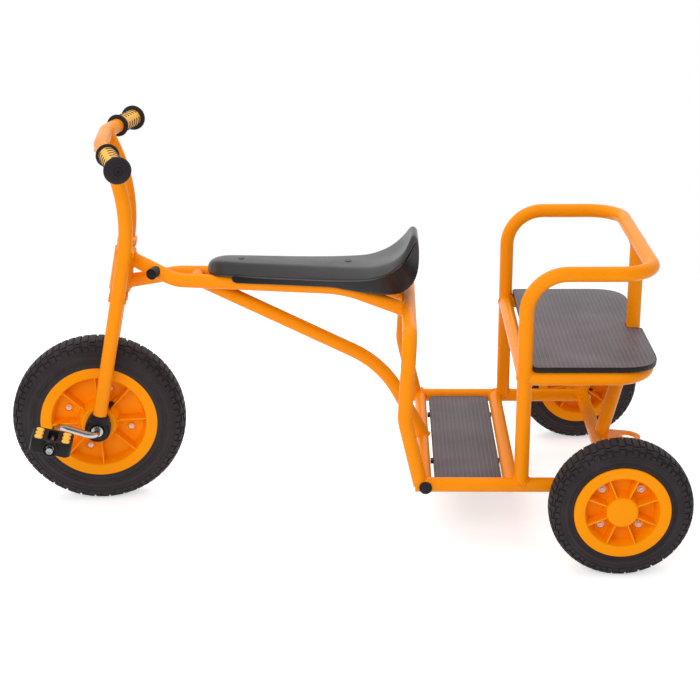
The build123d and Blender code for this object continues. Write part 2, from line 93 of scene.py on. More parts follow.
POST = JOINTS["steering_turn"]
WHEEL_LEFT = unit(JOINTS["front_wheel_spin"]["axis"])
STEERING = stand(POST["pos_m"], POST["axis"], np.cross(WHEEL_LEFT, unit(POST["axis"])))
FRONT_WHEEL = stand(STEERING[0], WHEEL_LEFT, STEERING[1])
REAR_WHEELS = {
    side: stand(JOINTS[f"rear_wheel_{side}_spin"]["pos_m"], (0, way, 0), (1, 0, 0))
    for side, way in SIDES
}
FRONT_AXLE = float(STEERING[0][0])


def behind(distance, side, height):
    """A point in metres from millimetres behind the front axle, to the left and up."""
    return np.array([FRONT_AXLE - distance * MM, side * MM, height * MM])


def grid_cells(rows, columns, ring_rows, ring_columns):
    """Corner numbers of every cell of a grid of rows by columns, closed on itself where asked."""
    r = np.arange(rows if ring_rows else rows - 1)
    c = np.arange(columns if ring_columns else columns - 1)
    r, c = (part.ravel() for part in np.meshgrid(r, c, indexing="ij"))
    r2, c2 = (r + 1) % rows, (c + 1) % columns
    corners = (r * columns + c, r2 * columns + c, r2 * columns + c2, r * columns + c2)
    return np.stack(corners, axis=-1)


def make_piece(name, surfaces, finish, slot, body, replaces=None, crease=35.0):
    """Join grids of points into one mesh at the origin, weld seams and poles, and face it out.

    surfaces is a list of (points, ring_rows, ring_columns), with points shaped rows, columns, 3.
    """
    points, cells, start = [], [], 0
    for surface, ring_rows, ring_columns in surfaces:
        rows, columns = surface.shape[:2]
        points.append(surface.reshape(-1, 3))
        cells.append(grid_cells(rows, columns, ring_rows, ring_columns) + start)
        start += rows * columns
    mesh = bpy.data.meshes.new(name)
    mesh.from_pydata(np.concatenate(points), [], np.concatenate(cells).tolist())
    shell = bmesh.new()
    shell.from_mesh(mesh)
    bmesh.ops.remove_doubles(shell, verts=shell.verts, dist=WELD)
    bmesh.ops.dissolve_degenerate(shell, edges=shell.edges, dist=WELD / 2)
    bmesh.ops.recalc_face_normals(shell, faces=shell.faces)
    shell.to_mesh(mesh)
    shell.free()
    mesh.shade_smooth()
    mesh.set_sharp_from_angle(angle=math.radians(crease))
    mesh.materials.append(finishes()[finish])
    piece = bpy.data.objects.new(name, mesh)
    bpy.context.scene.collection.objects.link(piece)
    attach(piece, body)
    if replaces:
        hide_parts(replaces)
    return piece


def quadratic(start, corner, end, t):
    """The quadratic curve from start to end that is drawn towards the corner."""
    return (1 - t) ** 2 * start + 2 * t * (1 - t) * corner + t**2 * end


def rounded_path(corners, radii, steps=5):
    """A flat polyline whose corners are turned into arcs.

    Each corner is cut back along both runs by radius times the tangent of half its turn, and the
    cut is filled with a quadratic curve through the corner, which is near enough to the arc.
    """
    corners = np.asarray(corners, dtype=float)
    path = [corners[:1]]
    t = np.linspace(0, 1, steps)[:, None]
    for before, corner, after, radius in zip(corners[:-2], corners[1:-1], corners[2:], radii):
        if radius <= 0:
            path.append(corner[None])
            continue
        inward, outward = unit(before - corner), unit(after - corner)
        half = math.acos(max(-1.0, min(1.0, -float(inward @ outward)))) / 2
        runs = (np.linalg.norm(before - corner), np.linalg.norm(after - corner))
        reach = min(radius * math.tan(half), 0.49 * min(runs))
        path.append(quadratic(corner + inward * reach, corner, corner + outward * reach, t))
    path.append(corners[-1:])
    return np.concatenate(path)


def circle(count, start=0.0):
    """Equal angles round a whole turn, without its repeated end."""
    return start + np.arange(count) * 2 * math.pi / count


def turned(where, radius, height, angles):
    """A turned surface: each profile point's radius swung through the angles about the frame's z.

    radius and height are one row, or a grid of angles by profile points.
    """
    radius, height = np.broadcast_arrays(np.atleast_2d(radius), np.atleast_2d(height))
    angles = np.asarray(angles)[:, None]
    radius = np.broadcast_to(radius, (len(angles), radius.shape[1]))
    height = np.broadcast_to(height, radius.shape)
    local = np.stack([radius * np.cos(angles), radius * np.sin(angles), height], -1)
    return place(local, where)


def ring_of(profile, where, count=96):
    """A closed ring turned from a flat outline of radius and height, in millimetres."""
    outline = np.asarray(profile, dtype=float) * MM
    return (turned(where, outline[:, 0], outline[:, 1], circle(count)), True, True)


def disc_of(profile, where, count=96):
    """A turned surface whose outline starts and ends on the axis, in millimetres."""
    return (ring_of(profile, where, count)[0], True, False)


def step(value, low, high):
    """0 below low, 1 above high and a smooth cubic between; low may be the larger."""
    t = np.clip((value - low) / (high - low), 0, 1)
    return t * t * (3 - 2 * t)


def smooth_curve(knots, values, at):
    """Cubic Hermite curve through the values, with each slope taken from its neighbours."""
    knots, values = np.asarray(knots, float), np.asarray(values, float)
    slopes = np.gradient(values, knots)
    i = np.clip(np.searchsorted(knots, at) - 1, 0, len(knots) - 2)
    width = knots[i + 1] - knots[i]
    t = (at - knots[i]) / width
    return (
        (2 * t**3 - 3 * t**2 + 1) * values[i]
        + (t**3 - 2 * t**2 + t) * width * slopes[i]
        + (3 * t**2 - 2 * t**3) * values[i + 1]
        + (t**3 - t**2) * width * slopes[i + 1]
    )


def power(value, exponent):
    """The value's size raised to the exponent, with its sign kept."""
    return np.sign(value) * np.abs(value) ** exponent


# ---- finishes -----------------------------------------------------------------------------------
def linear(colour):
    """A display colour from 0 to 1 as the linear colour that shaders use."""
    colour = np.asarray(colour, dtype=float)
    high = ((colour + 0.055) / 1.055) ** 2.4
    return (*np.where(colour <= 0.04045, colour / 12.92, high), 1.0)


def scaled(colour, share):
    """The colour made darker or paler by a share, and held at 1."""
    return tuple(min(1.0, part * share) for part in colour)


class Finish:
    """A material and its node tree, with short calls to add and join nodes."""

    def __init__(self, name, colour, roughness, specular=0.5, metallic=0.0):
        self.material = bpy.data.materials.new(name)
        self.material.use_nodes = True
        self.tree = self.material.node_tree
        self.shader = self.tree.nodes["Principled BSDF"]
        sockets = self.shader.inputs
        sockets["Base Color"].default_value = linear(colour)
        sockets["Roughness"].default_value = roughness
        sockets["Specular IOR Level"].default_value = specular
        sockets["Metallic"].default_value = metallic
        self.place = self.add("ShaderNodeTexCoord").outputs["Object"]

    def add(self, kind, **settings):
        """A new node with its properties and its inputs' values set by name."""
        node = self.tree.nodes.new(kind)
        for name, value in settings.items():
            if hasattr(node, name):
                setattr(node, name, value)
            else:
                node.inputs[name.replace("_", " ").title()].default_value = value
        return node

    def join(self, output, socket):
        """Join an output to an input, or to the shader's input of that name."""
        if isinstance(socket, str):
            socket = self.shader.inputs[socket]
        self.tree.links.new(output, socket)

    def noise(self, scale, detail=2.0, roughness=0.5):
        """Noise over the piece's own coordinates, in cycles per metre."""
        node = self.add("ShaderNodeTexNoise", scale=scale, detail=detail, roughness=roughness)
        self.join(self.place, node.inputs["Vector"])
        return node.outputs["Fac"]

    def along(self, axis):
        """One of the piece's own coordinates."""
        node = self.add("ShaderNodeSeparateXYZ")
        self.join(self.place, node.inputs["Vector"])
        return node.outputs[axis]

    def span(self, value, low, high, to_low=0.0, to_high=1.0):
        """A value carried from one range to another and held at its ends."""
        ends = {"from_min": low, "from_max": high, "to_min": to_low, "to_max": to_high}
        node = self.add("ShaderNodeMapRange", **ends)
        self.join(value, node.inputs["Value"])
        return node.outputs["Result"]

    def work(self, operation, *values):
        """The result of one operation on outputs and plain numbers."""
        node = self.add("ShaderNodeMath", operation=operation)
        for value, socket in zip(values, node.inputs):
            if isinstance(value, float):
                socket.default_value = value
            else:
                self.join(value, socket)
        return node.outputs[0]

    def blend_colour(self, factor, first, second):
        """A colour between two display colours."""
        node = self.add("ShaderNodeMix", data_type="RGBA")
        node.inputs["A"].default_value = linear(first)
        node.inputs["B"].default_value = linear(second)
        self.join(factor, node.inputs["Factor"])
        self.join(node.outputs["Result"], "Base Color")
        return node

    def bump(self, height, depth, strength=1.0):
        """Bump from a height of 0 to 1 that stands the depth tall, in metres."""
        node = self.add("ShaderNodeBump", strength=strength, distance=depth)
        self.join(height, node.inputs["Height"])
        self.join(node.outputs["Normal"], "Normal")


def frame_paint(colour):
    """Glossy powder coat: faint orange peel, and a slightly uneven sheen."""
    finish = Finish("Frame Powder Coat", colour, 0.3, 0.16)
    finish.bump(finish.noise(420.0), 0.00012, 0.5)
    uneven = finish.noise(9.0, 3.0)
    finish.join(finish.span(uneven, 0.35, 0.65, 0.24, 0.36), "Roughness")
    finish.blend_colour(finish.span(uneven, 0.3, 0.7), scaled(colour, 0.985), scaled(colour, 1.015))
    return finish.material


def moulded_plastic(name, colour, roughness, shine=0.25, grain=900.0, depth=0.00006):
    """Moulded plastic: a fine even grain and a soft change of sheen."""
    finish = Finish(name, colour, roughness, shine)
    finish.bump(finish.noise(grain), depth, 0.6)
    soft = finish.noise(30.0, 3.0)
    finish.join(finish.span(soft, 0.3, 0.7, roughness * 0.88, roughness * 1.12), "Roughness")
    return finish.material


def plated_steel(name, colour, roughness, metallic=1.0):
    """Zinc-plated steel: bright metal with fine wiping marks."""
    finish = Finish(name, colour, roughness, metallic=metallic)
    grain = finish.noise(240.0, 3.0)
    finish.join(finish.span(grain, 0.3, 0.7, roughness * 0.75, roughness * 1.3), "Roughness")
    finish.bump(grain, 0.00003, 0.4)
    return finish.material


def tyre_rubber(colour):
    """Rubber compound: matt, a little paler where dust sits, with a fine pebble."""
    finish = Finish("Tyre Rubber", colour, 0.62, 0.3)
    dust = finish.noise(26.0, 5.0, 0.6)
    dusty = tuple(part + 0.045 for part in colour)
    finish.blend_colour(finish.span(dust, 0.4, 0.75), colour, dusty)
    finish.join(finish.span(dust, 0.3, 0.7, 0.52, 0.72), "Roughness")
    finish.bump(finish.noise(1500.0), 0.00008, 0.5)
    return finish.material


def pressed_board(colour, pitch):
    """Film-faced ply: pressed ridges across the board over a fine woven relief, and dark edges.

    A ridge is the upper part of a sine wave along the board. The weave is the product of two
    finer waves, one along the board and one across it. Both are bumps. The colour is also paler on
    their raised parts as a painted highlight and darker in their hollows as painted shade, over a
    cloudy random tone. The edges' own attribute reads zero.
    """
    finish = Finish("Film-faced Ply", colour, 0.5)

    def wave(axis, length, low):
        turns = finish.work("MULTIPLY", finish.along(axis), 2 * math.pi / length)
        return finish.span(finish.work("SINE", turns), low, 1.0)

    woven = finish.work("MULTIPLY", wave("X", pitch / 2.5, -0.6), wave("Y", 0.0027, -0.6))
    woven = finish.span(woven, 0.0, 1.0, 0.0, 0.4)
    relief = finish.work("MULTIPLY_ADD", wave("X", pitch, 0.35), 0.6, woven)
    finish.bump(relief, 0.0005, 0.8)
    cloudy = finish.span(finish.noise(14.0, 4.0), 0.3, 0.7, 0.05, 0.4)
    # painted light: paler on the ridges and weave as a painted highlight, darker between them as painted shade,
    # plus a cloudy random tone
    shade = finish.work("MULTIPLY_ADD", relief, 0.6, cloudy)
    top = finish.blend_colour(shade, scaled(colour, 0.8), scaled(colour, 1.3))
    pressed = finish.add("ShaderNodeAttribute", attribute_name="pressed")
    edge = finish.blend_colour(pressed.outputs["Fac"], (0.13, 0.1, 0.1), colour)
    finish.join(top.outputs["Result"], edge.inputs["B"])
    return finish.material


def stage_finish(name, colour):
    """A matt material that gives light, and its rays: seen, mirrored, and any that show it."""
    finish = Finish(name, colour, 1.0, 0.0)
    finish.shader.inputs["Emission Color"].default_value = (1, 1, 1, 1)
    rays = finish.add("ShaderNodeLightPath").outputs
    kinds = ("Camera", "Glossy", "Transmission")
    seen, mirrored, through = (rays[f"Is {kind} Ray"] for kind in kinds)
    shown = finish.work("MAXIMUM", finish.work("MAXIMUM", seen, mirrored), through)
    return finish, seen, mirrored, shown


def pale_floor(lift, front):
    """Pale floor that keeps a light shadow near the tricycle and shows pure white further out.

    Mirrored rays see its part on the viewer's side dimmed, as in a room that is dark there.
    """
    pale = (0.98, 0.98, 0.98)
    finish, _, mirrored, shown = stage_finish("Pale Floor", pale)
    dim = finish.span(finish.along("Y"), 0.0, 1.0, 0.0, 1.0 - front)
    dim = finish.work("MULTIPLY", mirrored, dim)
    distance = finish.add("ShaderNodeVectorMath", operation="LENGTH")
    finish.join(finish.place, distance.inputs[0])
    near, far = 0.75, 1.7
    away = finish.span(distance.outputs["Value"], near, far)
    strength = finish.work("MULTIPLY", shown, finish.span(away, 0.0, 1.0, lift, 1.0))
    strength = finish.work("MULTIPLY", strength, finish.span(dim, 0.0, 1.0, 1.0, 0.0))
    finish.join(strength, "Emission Strength")
    darker = finish.work("MAXIMUM", finish.work("MULTIPLY", shown, away), dim)
    finish.blend_colour(darker, pale, (0.0, 0.0, 0.0))
    return finish.material


def pale_wall(front):
    """White wall round the room, dimmer on the side of the viewer for mirrored rays."""
    finish, seen, _, shown = stage_finish("Pale Wall", (0.0, 0.0, 0.0))
    level = finish.work("MAXIMUM", finish.span(finish.along("Y"), -1.0, 3.0, 1.0, front), seen)
    finish.join(finish.work("MULTIPLY", shown, level), "Emission Strength")
    return finish.material


# ---- tyres --------------------------------------------------------------------------------------
# Angles round the section are degrees from the crown, and cross grooves are shares of a pitch.
GROOVE, GROOVE_WALL = 2.6, 1.0  # half a ring groove's width, and its wall's
RINGS = (28.0, 36.0, 52.0, 60.0)  # the stepped ring grooves
FINE_RINGS = np.array([85.0, 91.0, 97.0, 103.0])
FINE_RING = 1.4  # half of a fine ring's width
# Where grid lines run between the grooves and beyond them.
PLAIN_LINES = (0.0, 11.0, 44.0, 68.0, 75.5, 78.0, 81.0, 108.0, 114.0, 121.0, 129.0, 138.0)
NOTCH_LONG, NOTCH_SHORT, SIDE_WALL = 76.0, 69.0, 76.5  # where the notches and the tread end
CROSS_CUT, CROSS_WALL = 0.055, 0.02  # half a cross groove's width, and its wall's
TREAD_DEPTH = 0.085  # share of the half width
WALL_SUNK, RING_STANDS = 0.62, 0.34  # shares of the tread's depth
CROWN_POWER, BEAD_POWER = 2.9, 3.6  # of the section's superellipse


def tread_lines(half_width, wall, centres):
    """Grid lines at both edges of every groove: foot and top of each wall."""
    edges = (-half_width - wall, -half_width, half_width, half_width + wall)
    return [centre + edge for centre in centres for edge in edges]


def tyre_surface(where, radius, half_width, bead_radius, seat_radius, pitches):
    """A block-treaded tyre as one closed turned surface.

    Its section is a superellipse, fuller towards the bead, over an angle that is 0 at the crown.
    Grooves are cut square to that section: stepped rings at two angles on each side, cross grooves
    that part the crown's blocks and join the rings by turns, and notches that open the shoulder
    row. Four fine rings stand on the side wall below.
    """
    half = [*PLAIN_LINES, *tread_lines(GROOVE, GROOVE_WALL, RINGS)]
    half += (FINE_RINGS[:, None] + np.array([-2.6, -1.3, 0.0, 1.3, 2.6])).ravel().tolist()
    half = np.unique(np.round(half, 3))
    angle = np.concatenate([-half[:0:-1], half])
    a = np.radians(angle)
    middle = radius - half_width * 0.98
    upper = np.cos(a) >= 0
    sharp = np.where(upper, 2 / CROWN_POWER, 2 / BEAD_POWER)
    reach = np.where(upper, radius - middle, (middle - bead_radius) * 1.34)
    r = middle + reach * power(np.cos(a), sharp)
    z = half_width * power(np.sin(a), sharp)
    keep = r > bead_radius - 0.0005
    r, z, angle = r[keep], z[keep], angle[keep]
    tangent = np.stack([np.gradient(r), np.gradient(z)])
    tangent /= np.linalg.norm(tangent, axis=0)

    pitch_lines = [0.25, 0.75] + tread_lines(CROSS_CUT, CROSS_WALL, (0.0, 0.5))
    pitch_lines = np.unique(np.mod(pitch_lines, 1.0))
    turn = (np.arange(pitches)[:, None] + pitch_lines).ravel()
    # u runs from 0 to 1 over a pitch, half a pitch later on the other side; t is the angle down.
    u = np.mod(np.mod(turn, 1.0)[:, None] + 0.5 * (angle[None] < 0), 1.0)
    t = np.abs(angle)[None]
    first_half = u < 0.5
    reached = CROSS_CUT + 0.001  # takes in the grid lines on the grooves' own edges
    near_zero, near_half = np.minimum(u, 1 - u) < reached, np.abs(u - 0.5) < reached
    near_step = near_zero | near_half
    inner_low, inner_high, outer_low, outer_high = RINGS
    cut = np.abs(t - np.where(first_half, inner_high, inner_low)) < GROOVE + 0.1
    cut |= np.abs(t - np.where(first_half, outer_low, outer_high)) < GROOVE + 0.1
    cut |= near_step & (t > inner_low - GROOVE) & (t < inner_high + GROOVE)
    cut |= near_step & (t > outer_low - GROOVE) & (t < outer_high + GROOVE)
    cut |= (near_zero & (t < inner_high)) | (near_half & (t < outer_high))
    cut |= near_zero & (t > outer_low) & (t < NOTCH_LONG)
    cut |= near_half & (t > outer_low) & (t < NOTCH_SHORT)
    depth = half_width * TREAD_DEPTH
    sunk = np.where(t > SIDE_WALL, depth * WALL_SUNK, np.where(cut, depth, 0.0))
    ring_gap = np.min(np.abs(t[..., None] - FINE_RINGS), axis=-1)
    sunk -= np.where(ring_gap < FINE_RING, depth * RING_STANDS, 0.0)
    sunk *= step(t, 112.0, 104.0)
    r = r[None] - sunk * tangent[1][None]
    z = z[None] + sunk * tangent[0][None]

    bead_r = np.array([bead_radius - 0.004, seat_radius, seat_radius])
    bead_z = np.abs(z[0, 0]) * np.array([0.95, 0.88, 0.3])
    tail_r = np.broadcast_to(np.concatenate([bead_r, bead_r[::-1]]), (len(turn), 6))
    tail_z = np.broadcast_to(np.concatenate([bead_z, -bead_z[::-1]]), (len(turn), 6))
    grid_r, grid_z = np.concatenate([r, tail_r], axis=1), np.concatenate([z, tail_z], axis=1)
    return turned(where, grid_r, grid_z, turn * 2 * math.pi / pitches)


# ---- moulded wheels -----------------------------------------------------------------------------
RIB_FOOT, RIB_TOP = 0.0025, 0.0012  # half widths
RIB_SPACING = math.pi / 4


def wheel_surface(where, sizes, turn, between=22):
    """A moulded wheel as one closed turned surface.

    Each face is a height over radius: a hub boss, a sunk web, a sloping wall and a flat ring.
    Eight ribs stand on the web. Grid lines run beside each rib at a fixed distance from its
    middle line, so their angle is the arc sine of that distance over the radius, and the lines
    between two ribs share out the angle left.
    """
    bore, boss, boss_high, floor, wall_foot, ring, lip, ring_high, seat = sizes
    boss_foot = boss + 0.25 * (boss_high - floor)
    corners = [(bore, boss_high), (boss, boss_high), (boss_foot, floor), (wall_foot, floor)]
    corners += [(ring, ring_high), (lip, ring_high)]
    corners += [(lip, ring_high - 0.0035), (seat, ring_high - 0.0045)]
    face = rounded_path(corners, (0.003, 0.005, 0.004, 0.003, 0.0022, 0.0006))
    web = np.linspace(boss_foot + 0.005, wall_foot - 0.002, 14)
    places = np.arange(len(face), dtype=float)
    order = np.concatenate([places, np.interp(web, face[:, 0], places)])
    order = np.argsort(order, kind="stable")
    r = np.concatenate([face[:, 0], web])[order]
    h = np.concatenate([face[:, 1], np.full(len(web), floor)])[order]
    beside = np.array([-RIB_FOOT, -RIB_TOP, RIB_TOP, RIB_FOOT])
    beside = np.arcsin(beside[:, None] / r[None])
    share = np.linspace(0, 1, between + 2)[1:-1, None]
    apart = beside[3][None] * (1 - share) + (beside[0][None] + RIB_SPACING) * share
    starts = turn + RIB_SPACING * np.arange(8)[:, None, None]
    angles = (starts + np.concatenate([beside, apart])[None]).reshape(-1, len(r))
    stands = np.tile([0.0, 1.0, 1.0, 0.0] + [0.0] * between, 8)[:, None]
    rib_high = np.interp(r, (boss, wall_foot), (ring_high - 0.004, ring_high - 0.0025))
    on_web = step(r, boss - 0.0002, boss + 0.0004) * step(r, ring + 0.001, ring - 0.001)
    high = np.maximum(h[None], (floor + (rib_high - floor) * on_web)[None] * stands)
    high = np.where(r[None] > ring - 0.0005, h[None], high)
    grid_r = np.concatenate([r, r[::-1]])
    grid_h = np.concatenate([high, -high[:, ::-1]], axis=1)
    grid_a = np.concatenate([angles, angles[:, ::-1]], axis=1)
    radial = np.cos(grid_a)[..., None] * where[1] + np.sin(grid_a)[..., None] * where[2]
    return where[0] + grid_r[None, :, None] * radial + grid_h[..., None] * where[3]


def bolt_head(where, radius, height, washer=1.5):
    """A washer, a six-sided nut and a sunk bolt end, as one turned surface.

    The nut's radius follows the hexagon: its flat distance over the cosine of the angle to it.
    """
    angles = circle(48)
    sixth = math.pi / 3
    to_flat = np.abs(np.mod(angles, sixth) - sixth / 2)
    hexagon = math.cos(sixth / 2) / np.cos(to_flat)
    r = np.array([0, washer, washer, washer - 0.08, 1, 1, 0.94, 0.56, 0.52, 0.3, 0])
    high = np.array([0, 0, 0.16, 0.2, 0.2, 0.85, 1, 1, 0.6, 0.72, 0.76])
    six = np.array([0, 0, 0, 0, 1, 1, 1, 0, 0, 0, 0])
    return turned(where, r * radius * (1 + six * (hexagon[:, None] - 1)), high * height, angles)


# ---- saddle -------------------------------------------------------------------------------------
# Rows along the lip in millimetres: middle of the top (behind the axle, up), then its shoulder
# and its outer edge (each behind, out to the side, up).
SADDLE_LIP = np.array([
    (212.0, 447.0, 212.0, 1.0, 447.0, 212.0, 2.0, 446.0),
    (213.0, 451.5, 213.0, 4.0, 450.5, 212.8, 8.0, 444.0),
    (216.0, 456.0, 216.0, 8.5, 455.0, 215.5, 17.5, 442.4),
    (222.0, 459.8, 222.0, 14.0, 458.6, 221.0, 27.5, 441.8),
    (231.0, 462.0, 231.0, 19.5, 460.6, 230.0, 35.5, 442.0),
    (245.0, 462.6, 245.0, 24.5, 461.2, 245.0, 41.5, 442.6),
    (275.0, 461.6, 275.0, 27.5, 460.2, 275.0, 48.5, 443.4),
    (326.0, 459.8, 326.0, 28.6, 458.5, 326.0, 57.0, 443.5),
    (377.0, 458.2, 377.0, 30.2, 456.9, 377.0, 64.0, 443.4),
    (428.0, 456.9, 428.0, 33.6, 455.7, 428.0, 70.5, 443.2),
    (478.0, 456.2, 478.0, 39.2, 455.6, 478.0, 76.3, 444.6),
    (504.0, 457.6, 503.0, 44.6, 457.4, 503.0, 79.3, 447.4),
    (528.0, 463.0, 527.0, 50.8, 464.8, 526.0, 80.0, 453.8),
    (546.0, 471.0, 543.0, 55.5, 473.5, 541.0, 78.0, 462.0),
    (558.0, 481.0, 554.0, 57.0, 483.0, 553.0, 74.0, 470.5),
    (565.0, 491.5, 561.5, 54.0, 492.0, 562.0, 67.0, 480.0),
    (569.5, 501.5, 566.5, 47.5, 500.5, 570.0, 56.0, 490.5),
    (572.0, 508.5, 570.5, 40.0, 507.2, 576.5, 45.0, 500.5),
    (576.0, 512.4, 575.0, 34.0, 510.8, 581.0, 37.5, 505.0),
    (581.0, 511.0, 580.0, 29.0, 509.8, 583.5, 32.0, 504.5),
    (583.5, 505.0, 583.0, 24.0, 504.0, 584.0, 26.0, 501.0),
    (584.2, 499.0, 584.2, 1.0, 499.0, 584.2, 1.5, 498.5),
])
# Rows along the pan: where it leaves the lip's underside and its outer corner below (each behind,
# out to the side, up), and how softly that corner turns.
SADDLE_PAN = np.array([
    (256.5, 42.0, 445.0, 256.5, 41.5, 441.0, 1.5),
    (258.5, 43.0, 445.0, 259.0, 44.2, 433.5, 1.5),
    (262.0, 44.5, 445.0, 263.0, 46.2, 430.2, 1.5),
    (268.0, 46.0, 445.0, 269.0, 47.5, 429.4, 1.5),
    (300.0, 51.0, 445.0, 300.0, 50.5, 428.8, 1.5),
    (330.0, 54.5, 445.0, 330.0, 53.0, 428.5, 1.5),
    (380.0, 61.0, 445.0, 380.0, 57.0, 427.2, 2.0),
    (430.0, 67.3, 445.0, 431.0, 60.5, 425.2, 3.0),
    (455.0, 70.3, 445.0, 458.0, 62.5, 421.0, 4.0),
    (480.0, 73.0, 446.0, 484.0, 64.5, 416.5, 6.0),
    (500.0, 75.5, 447.5, 508.0, 65.0, 413.2, 9.0),
    (518.0, 76.5, 450.5, 531.0, 62.5, 411.8, 12.0),
    (532.0, 76.0, 455.5, 551.0, 57.5, 413.6, 14.0),
    (544.0, 74.0, 461.5, 566.0, 51.5, 419.8, 15.0),
    (556.0, 70.0, 469.5, 576.0, 46.5, 430.0, 16.0),
    (565.0, 63.0, 478.5, 582.0, 42.5, 443.0, 16.0),
    (572.0, 53.0, 488.5, 585.0, 39.5, 458.0, 14.0),
    (578.0, 42.0, 498.0, 585.8, 37.0, 474.0, 10.0),
    (582.0, 34.0, 502.5, 585.5, 34.0, 488.0, 6.0),
    (583.5, 28.0, 502.0, 584.8, 28.0, 495.0, 3.0),
    (584.2, 1.0, 499.0, 584.4, 1.0, 498.0, 0.3),
])
# Two places along the frame tubes under the pan: distance behind the axle, the inner face's
# distance to the side, and the height of the ceiling over the tubes.
TUBE_RUN = np.array([(205, 40.5, 440.3), (454, 56, 433.3)])


def along_rows(table, count):
    """The table's rows joined by smooth curves and read at places crowded where rows crowd."""
    rows = np.arange(len(table), dtype=float)
    at = np.linspace(0, len(table) - 1, count)
    return [smooth_curve(rows, column, at) for column in table.T]


def soften(corners, radii, steps=6):
    """Closed sections, shaped rows, corners, 3, with each corner turned into a short curve.

    A corner is cut back along both its runs by its radius, or by half of a shorter run, and the
    cut is filled with a quadratic curve through the corner.
    """

    def cut(neighbour):
        run = neighbour - corners
        length = np.maximum(np.linalg.norm(run, axis=-1, keepdims=True), 1e-9)
        return (corners + run * np.minimum(radii[..., None] / length, 0.49))[:, :, None]

    t = np.linspace(0, 1, steps)[:, None]
    start, end = cut(np.roll(corners, 1, 1)), cut(np.roll(corners, -1, 1))
    return quadratic(start, corners[:, :, None], end, t).reshape(len(corners), -1, 3)


def mirrored_section(half, middles=()):
    """Corners down the left side, then the same back up the right, in the tricycle's frame."""
    left = [behind(d, y, z).T for d, y, z in half]
    right = [corner * (1, -1, 1) for corner in left[::-1]]
    return np.stack([behind(d, 0 * d, z).T for d, z in middles] + left + right, axis=1)


def saddle_lip(count=150):
    """The lip: an arched top, flanks that slope out to its edge, and a thin turned-under rim."""
    top, up, *sides = along_rows(SADDLE_LIP, count)
    shoulder, edge = sides[:3], sides[3:]
    rim = np.minimum(1, edge[1] / 8)
    under = (edge[0], np.maximum(edge[1] - 2.5, 0.2 * edge[1]), edge[2] - 4.5 * rim)
    corners = mirrored_section((shoulder, edge, under), ((top, up),))
    radii = np.array([40, 7, 2.2, 1.5, 1.5, 2.2, 7]) * MM
    return soften(corners, np.broadcast_to(radii, corners.shape[:2]))


def saddle_pan(count=130):
    """The pan below the lip, its rows fanned round the tail, open over the two frame tubes."""
    *sides, soft = along_rows(SADDLE_PAN, count)
    upper, lower = sides[:3], sides[3:]
    ends, aside, high = TUBE_RUN.T
    inner = np.minimum(np.interp(lower[0], ends, aside), lower[1] - 1.4)
    ceiling = np.interp(lower[0], ends, high)
    ceiling = lower[2] + np.maximum(ceiling - lower[2], 0) * step(lower[0], 549, 543)
    inside = ((lower[0], inner, lower[2]), (lower[0], inner, ceiling))
    one, soft = np.ones(count), np.maximum(soft, 0.2)
    small = np.minimum(1.0, soft)
    radii = np.stack([one, soft, small, one, one, small, soft, one], axis=1) * MM
    return soften(mirrored_section((upper, lower, *inside)), radii)


def screw_plug(where, radius):
    """A low domed plug inside a fine groove, as one turned surface."""
    r = np.array([0, 0.3, 0.55, 0.72, 0.78, 0.84, 0.9, 1, 0.98, 0])
    high = np.array([0.12, 0.11, 0.08, 0, -0.05, 0, 0.06, 0, -0.15, -0.15])
    return turned(where, r * radius, high * radius, circle(40))


# ---- grips --------------------------------------------------------------------------------------
BAR_BEND = np.array([0.066, 0.054, 0.518])  # in the steering's frame, where the bar turns back
BAR_SWEEP = math.radians(14.4)
GRIP_START = 0.062  # from that bend, along the bar
GRIP_RIB = (13.6, 2.5, 0.3, 2.8)  # middle radius, half thickness, least half width and its gain
# Angles from the middle of a bare strip: where the ribs start, and where they are whole.
STRIP_BARE, STRIP_END = math.radians(4), math.radians(24)
# Outlines of radius and distance along the bar, in millimetres.
FLANGE = ((12.6, 0.2), (17.8, 0.2), (19.4, 1.4), (19.8, 3.6), (19.4, 5.8), (18, 7), (12.6, 7))
GRIP_CAP = (
    (0, 92), (2, 92), (2.2, 99.6), (2.6, 100.4), (5.6, 100.8), (6.2, 99.8), (7.2, 99.8),
    (7.8, 100.6), (14, 100.2), (19, 98.8), (21.9, 96.6), (22.7, 94.2), (22.3, 91.6),
    (20.6, 90.2), (12.6, 90.2), (12.6, 98.6), (0, 98.6),
)
GRIP_CORE = ((12.6, 6.6), (15.2, 6.6), (15.2, 90.6), (12.6, 90.6))


def grip_frame(side):
    """The swept end of the handlebar: origin where the grip starts, z out along the bar."""
    along = np.array([-math.sin(BAR_SWEEP), side * math.cos(BAR_SWEEP), 0.0])
    start = BAR_BEND * (1, side, 1) + GRIP_START * along
    return stand(place(start, STEERING), along @ STEERING[1:], STEERING[3])


def grip_ribs(where, lean, count=6, first=15.0, last=82.0):
    """Rings round the grip's core that thin out and sink below it on top and underneath.

    Each ring's height and half width follow how far its angle is from the two bare strips.
    """
    angles = circle(144)
    from_strip = np.abs(np.mod(angles - lean + math.pi / 2, math.pi) - math.pi / 2)
    present = step(from_strip, STRIP_BARE, STRIP_END)[:, None]
    turn = np.linspace(0, 2 * math.pi, 17)[:-1][None]
    middle, thick, least, gain = GRIP_RIB
    radius = middle + thick * present * np.cos(turn)
    height = (least + gain * present) * np.sin(turn)
    middles = np.linspace(first, last, count)
    return [(turned(where, radius * MM, (m + height) * MM, angles), True, True) for m in middles]


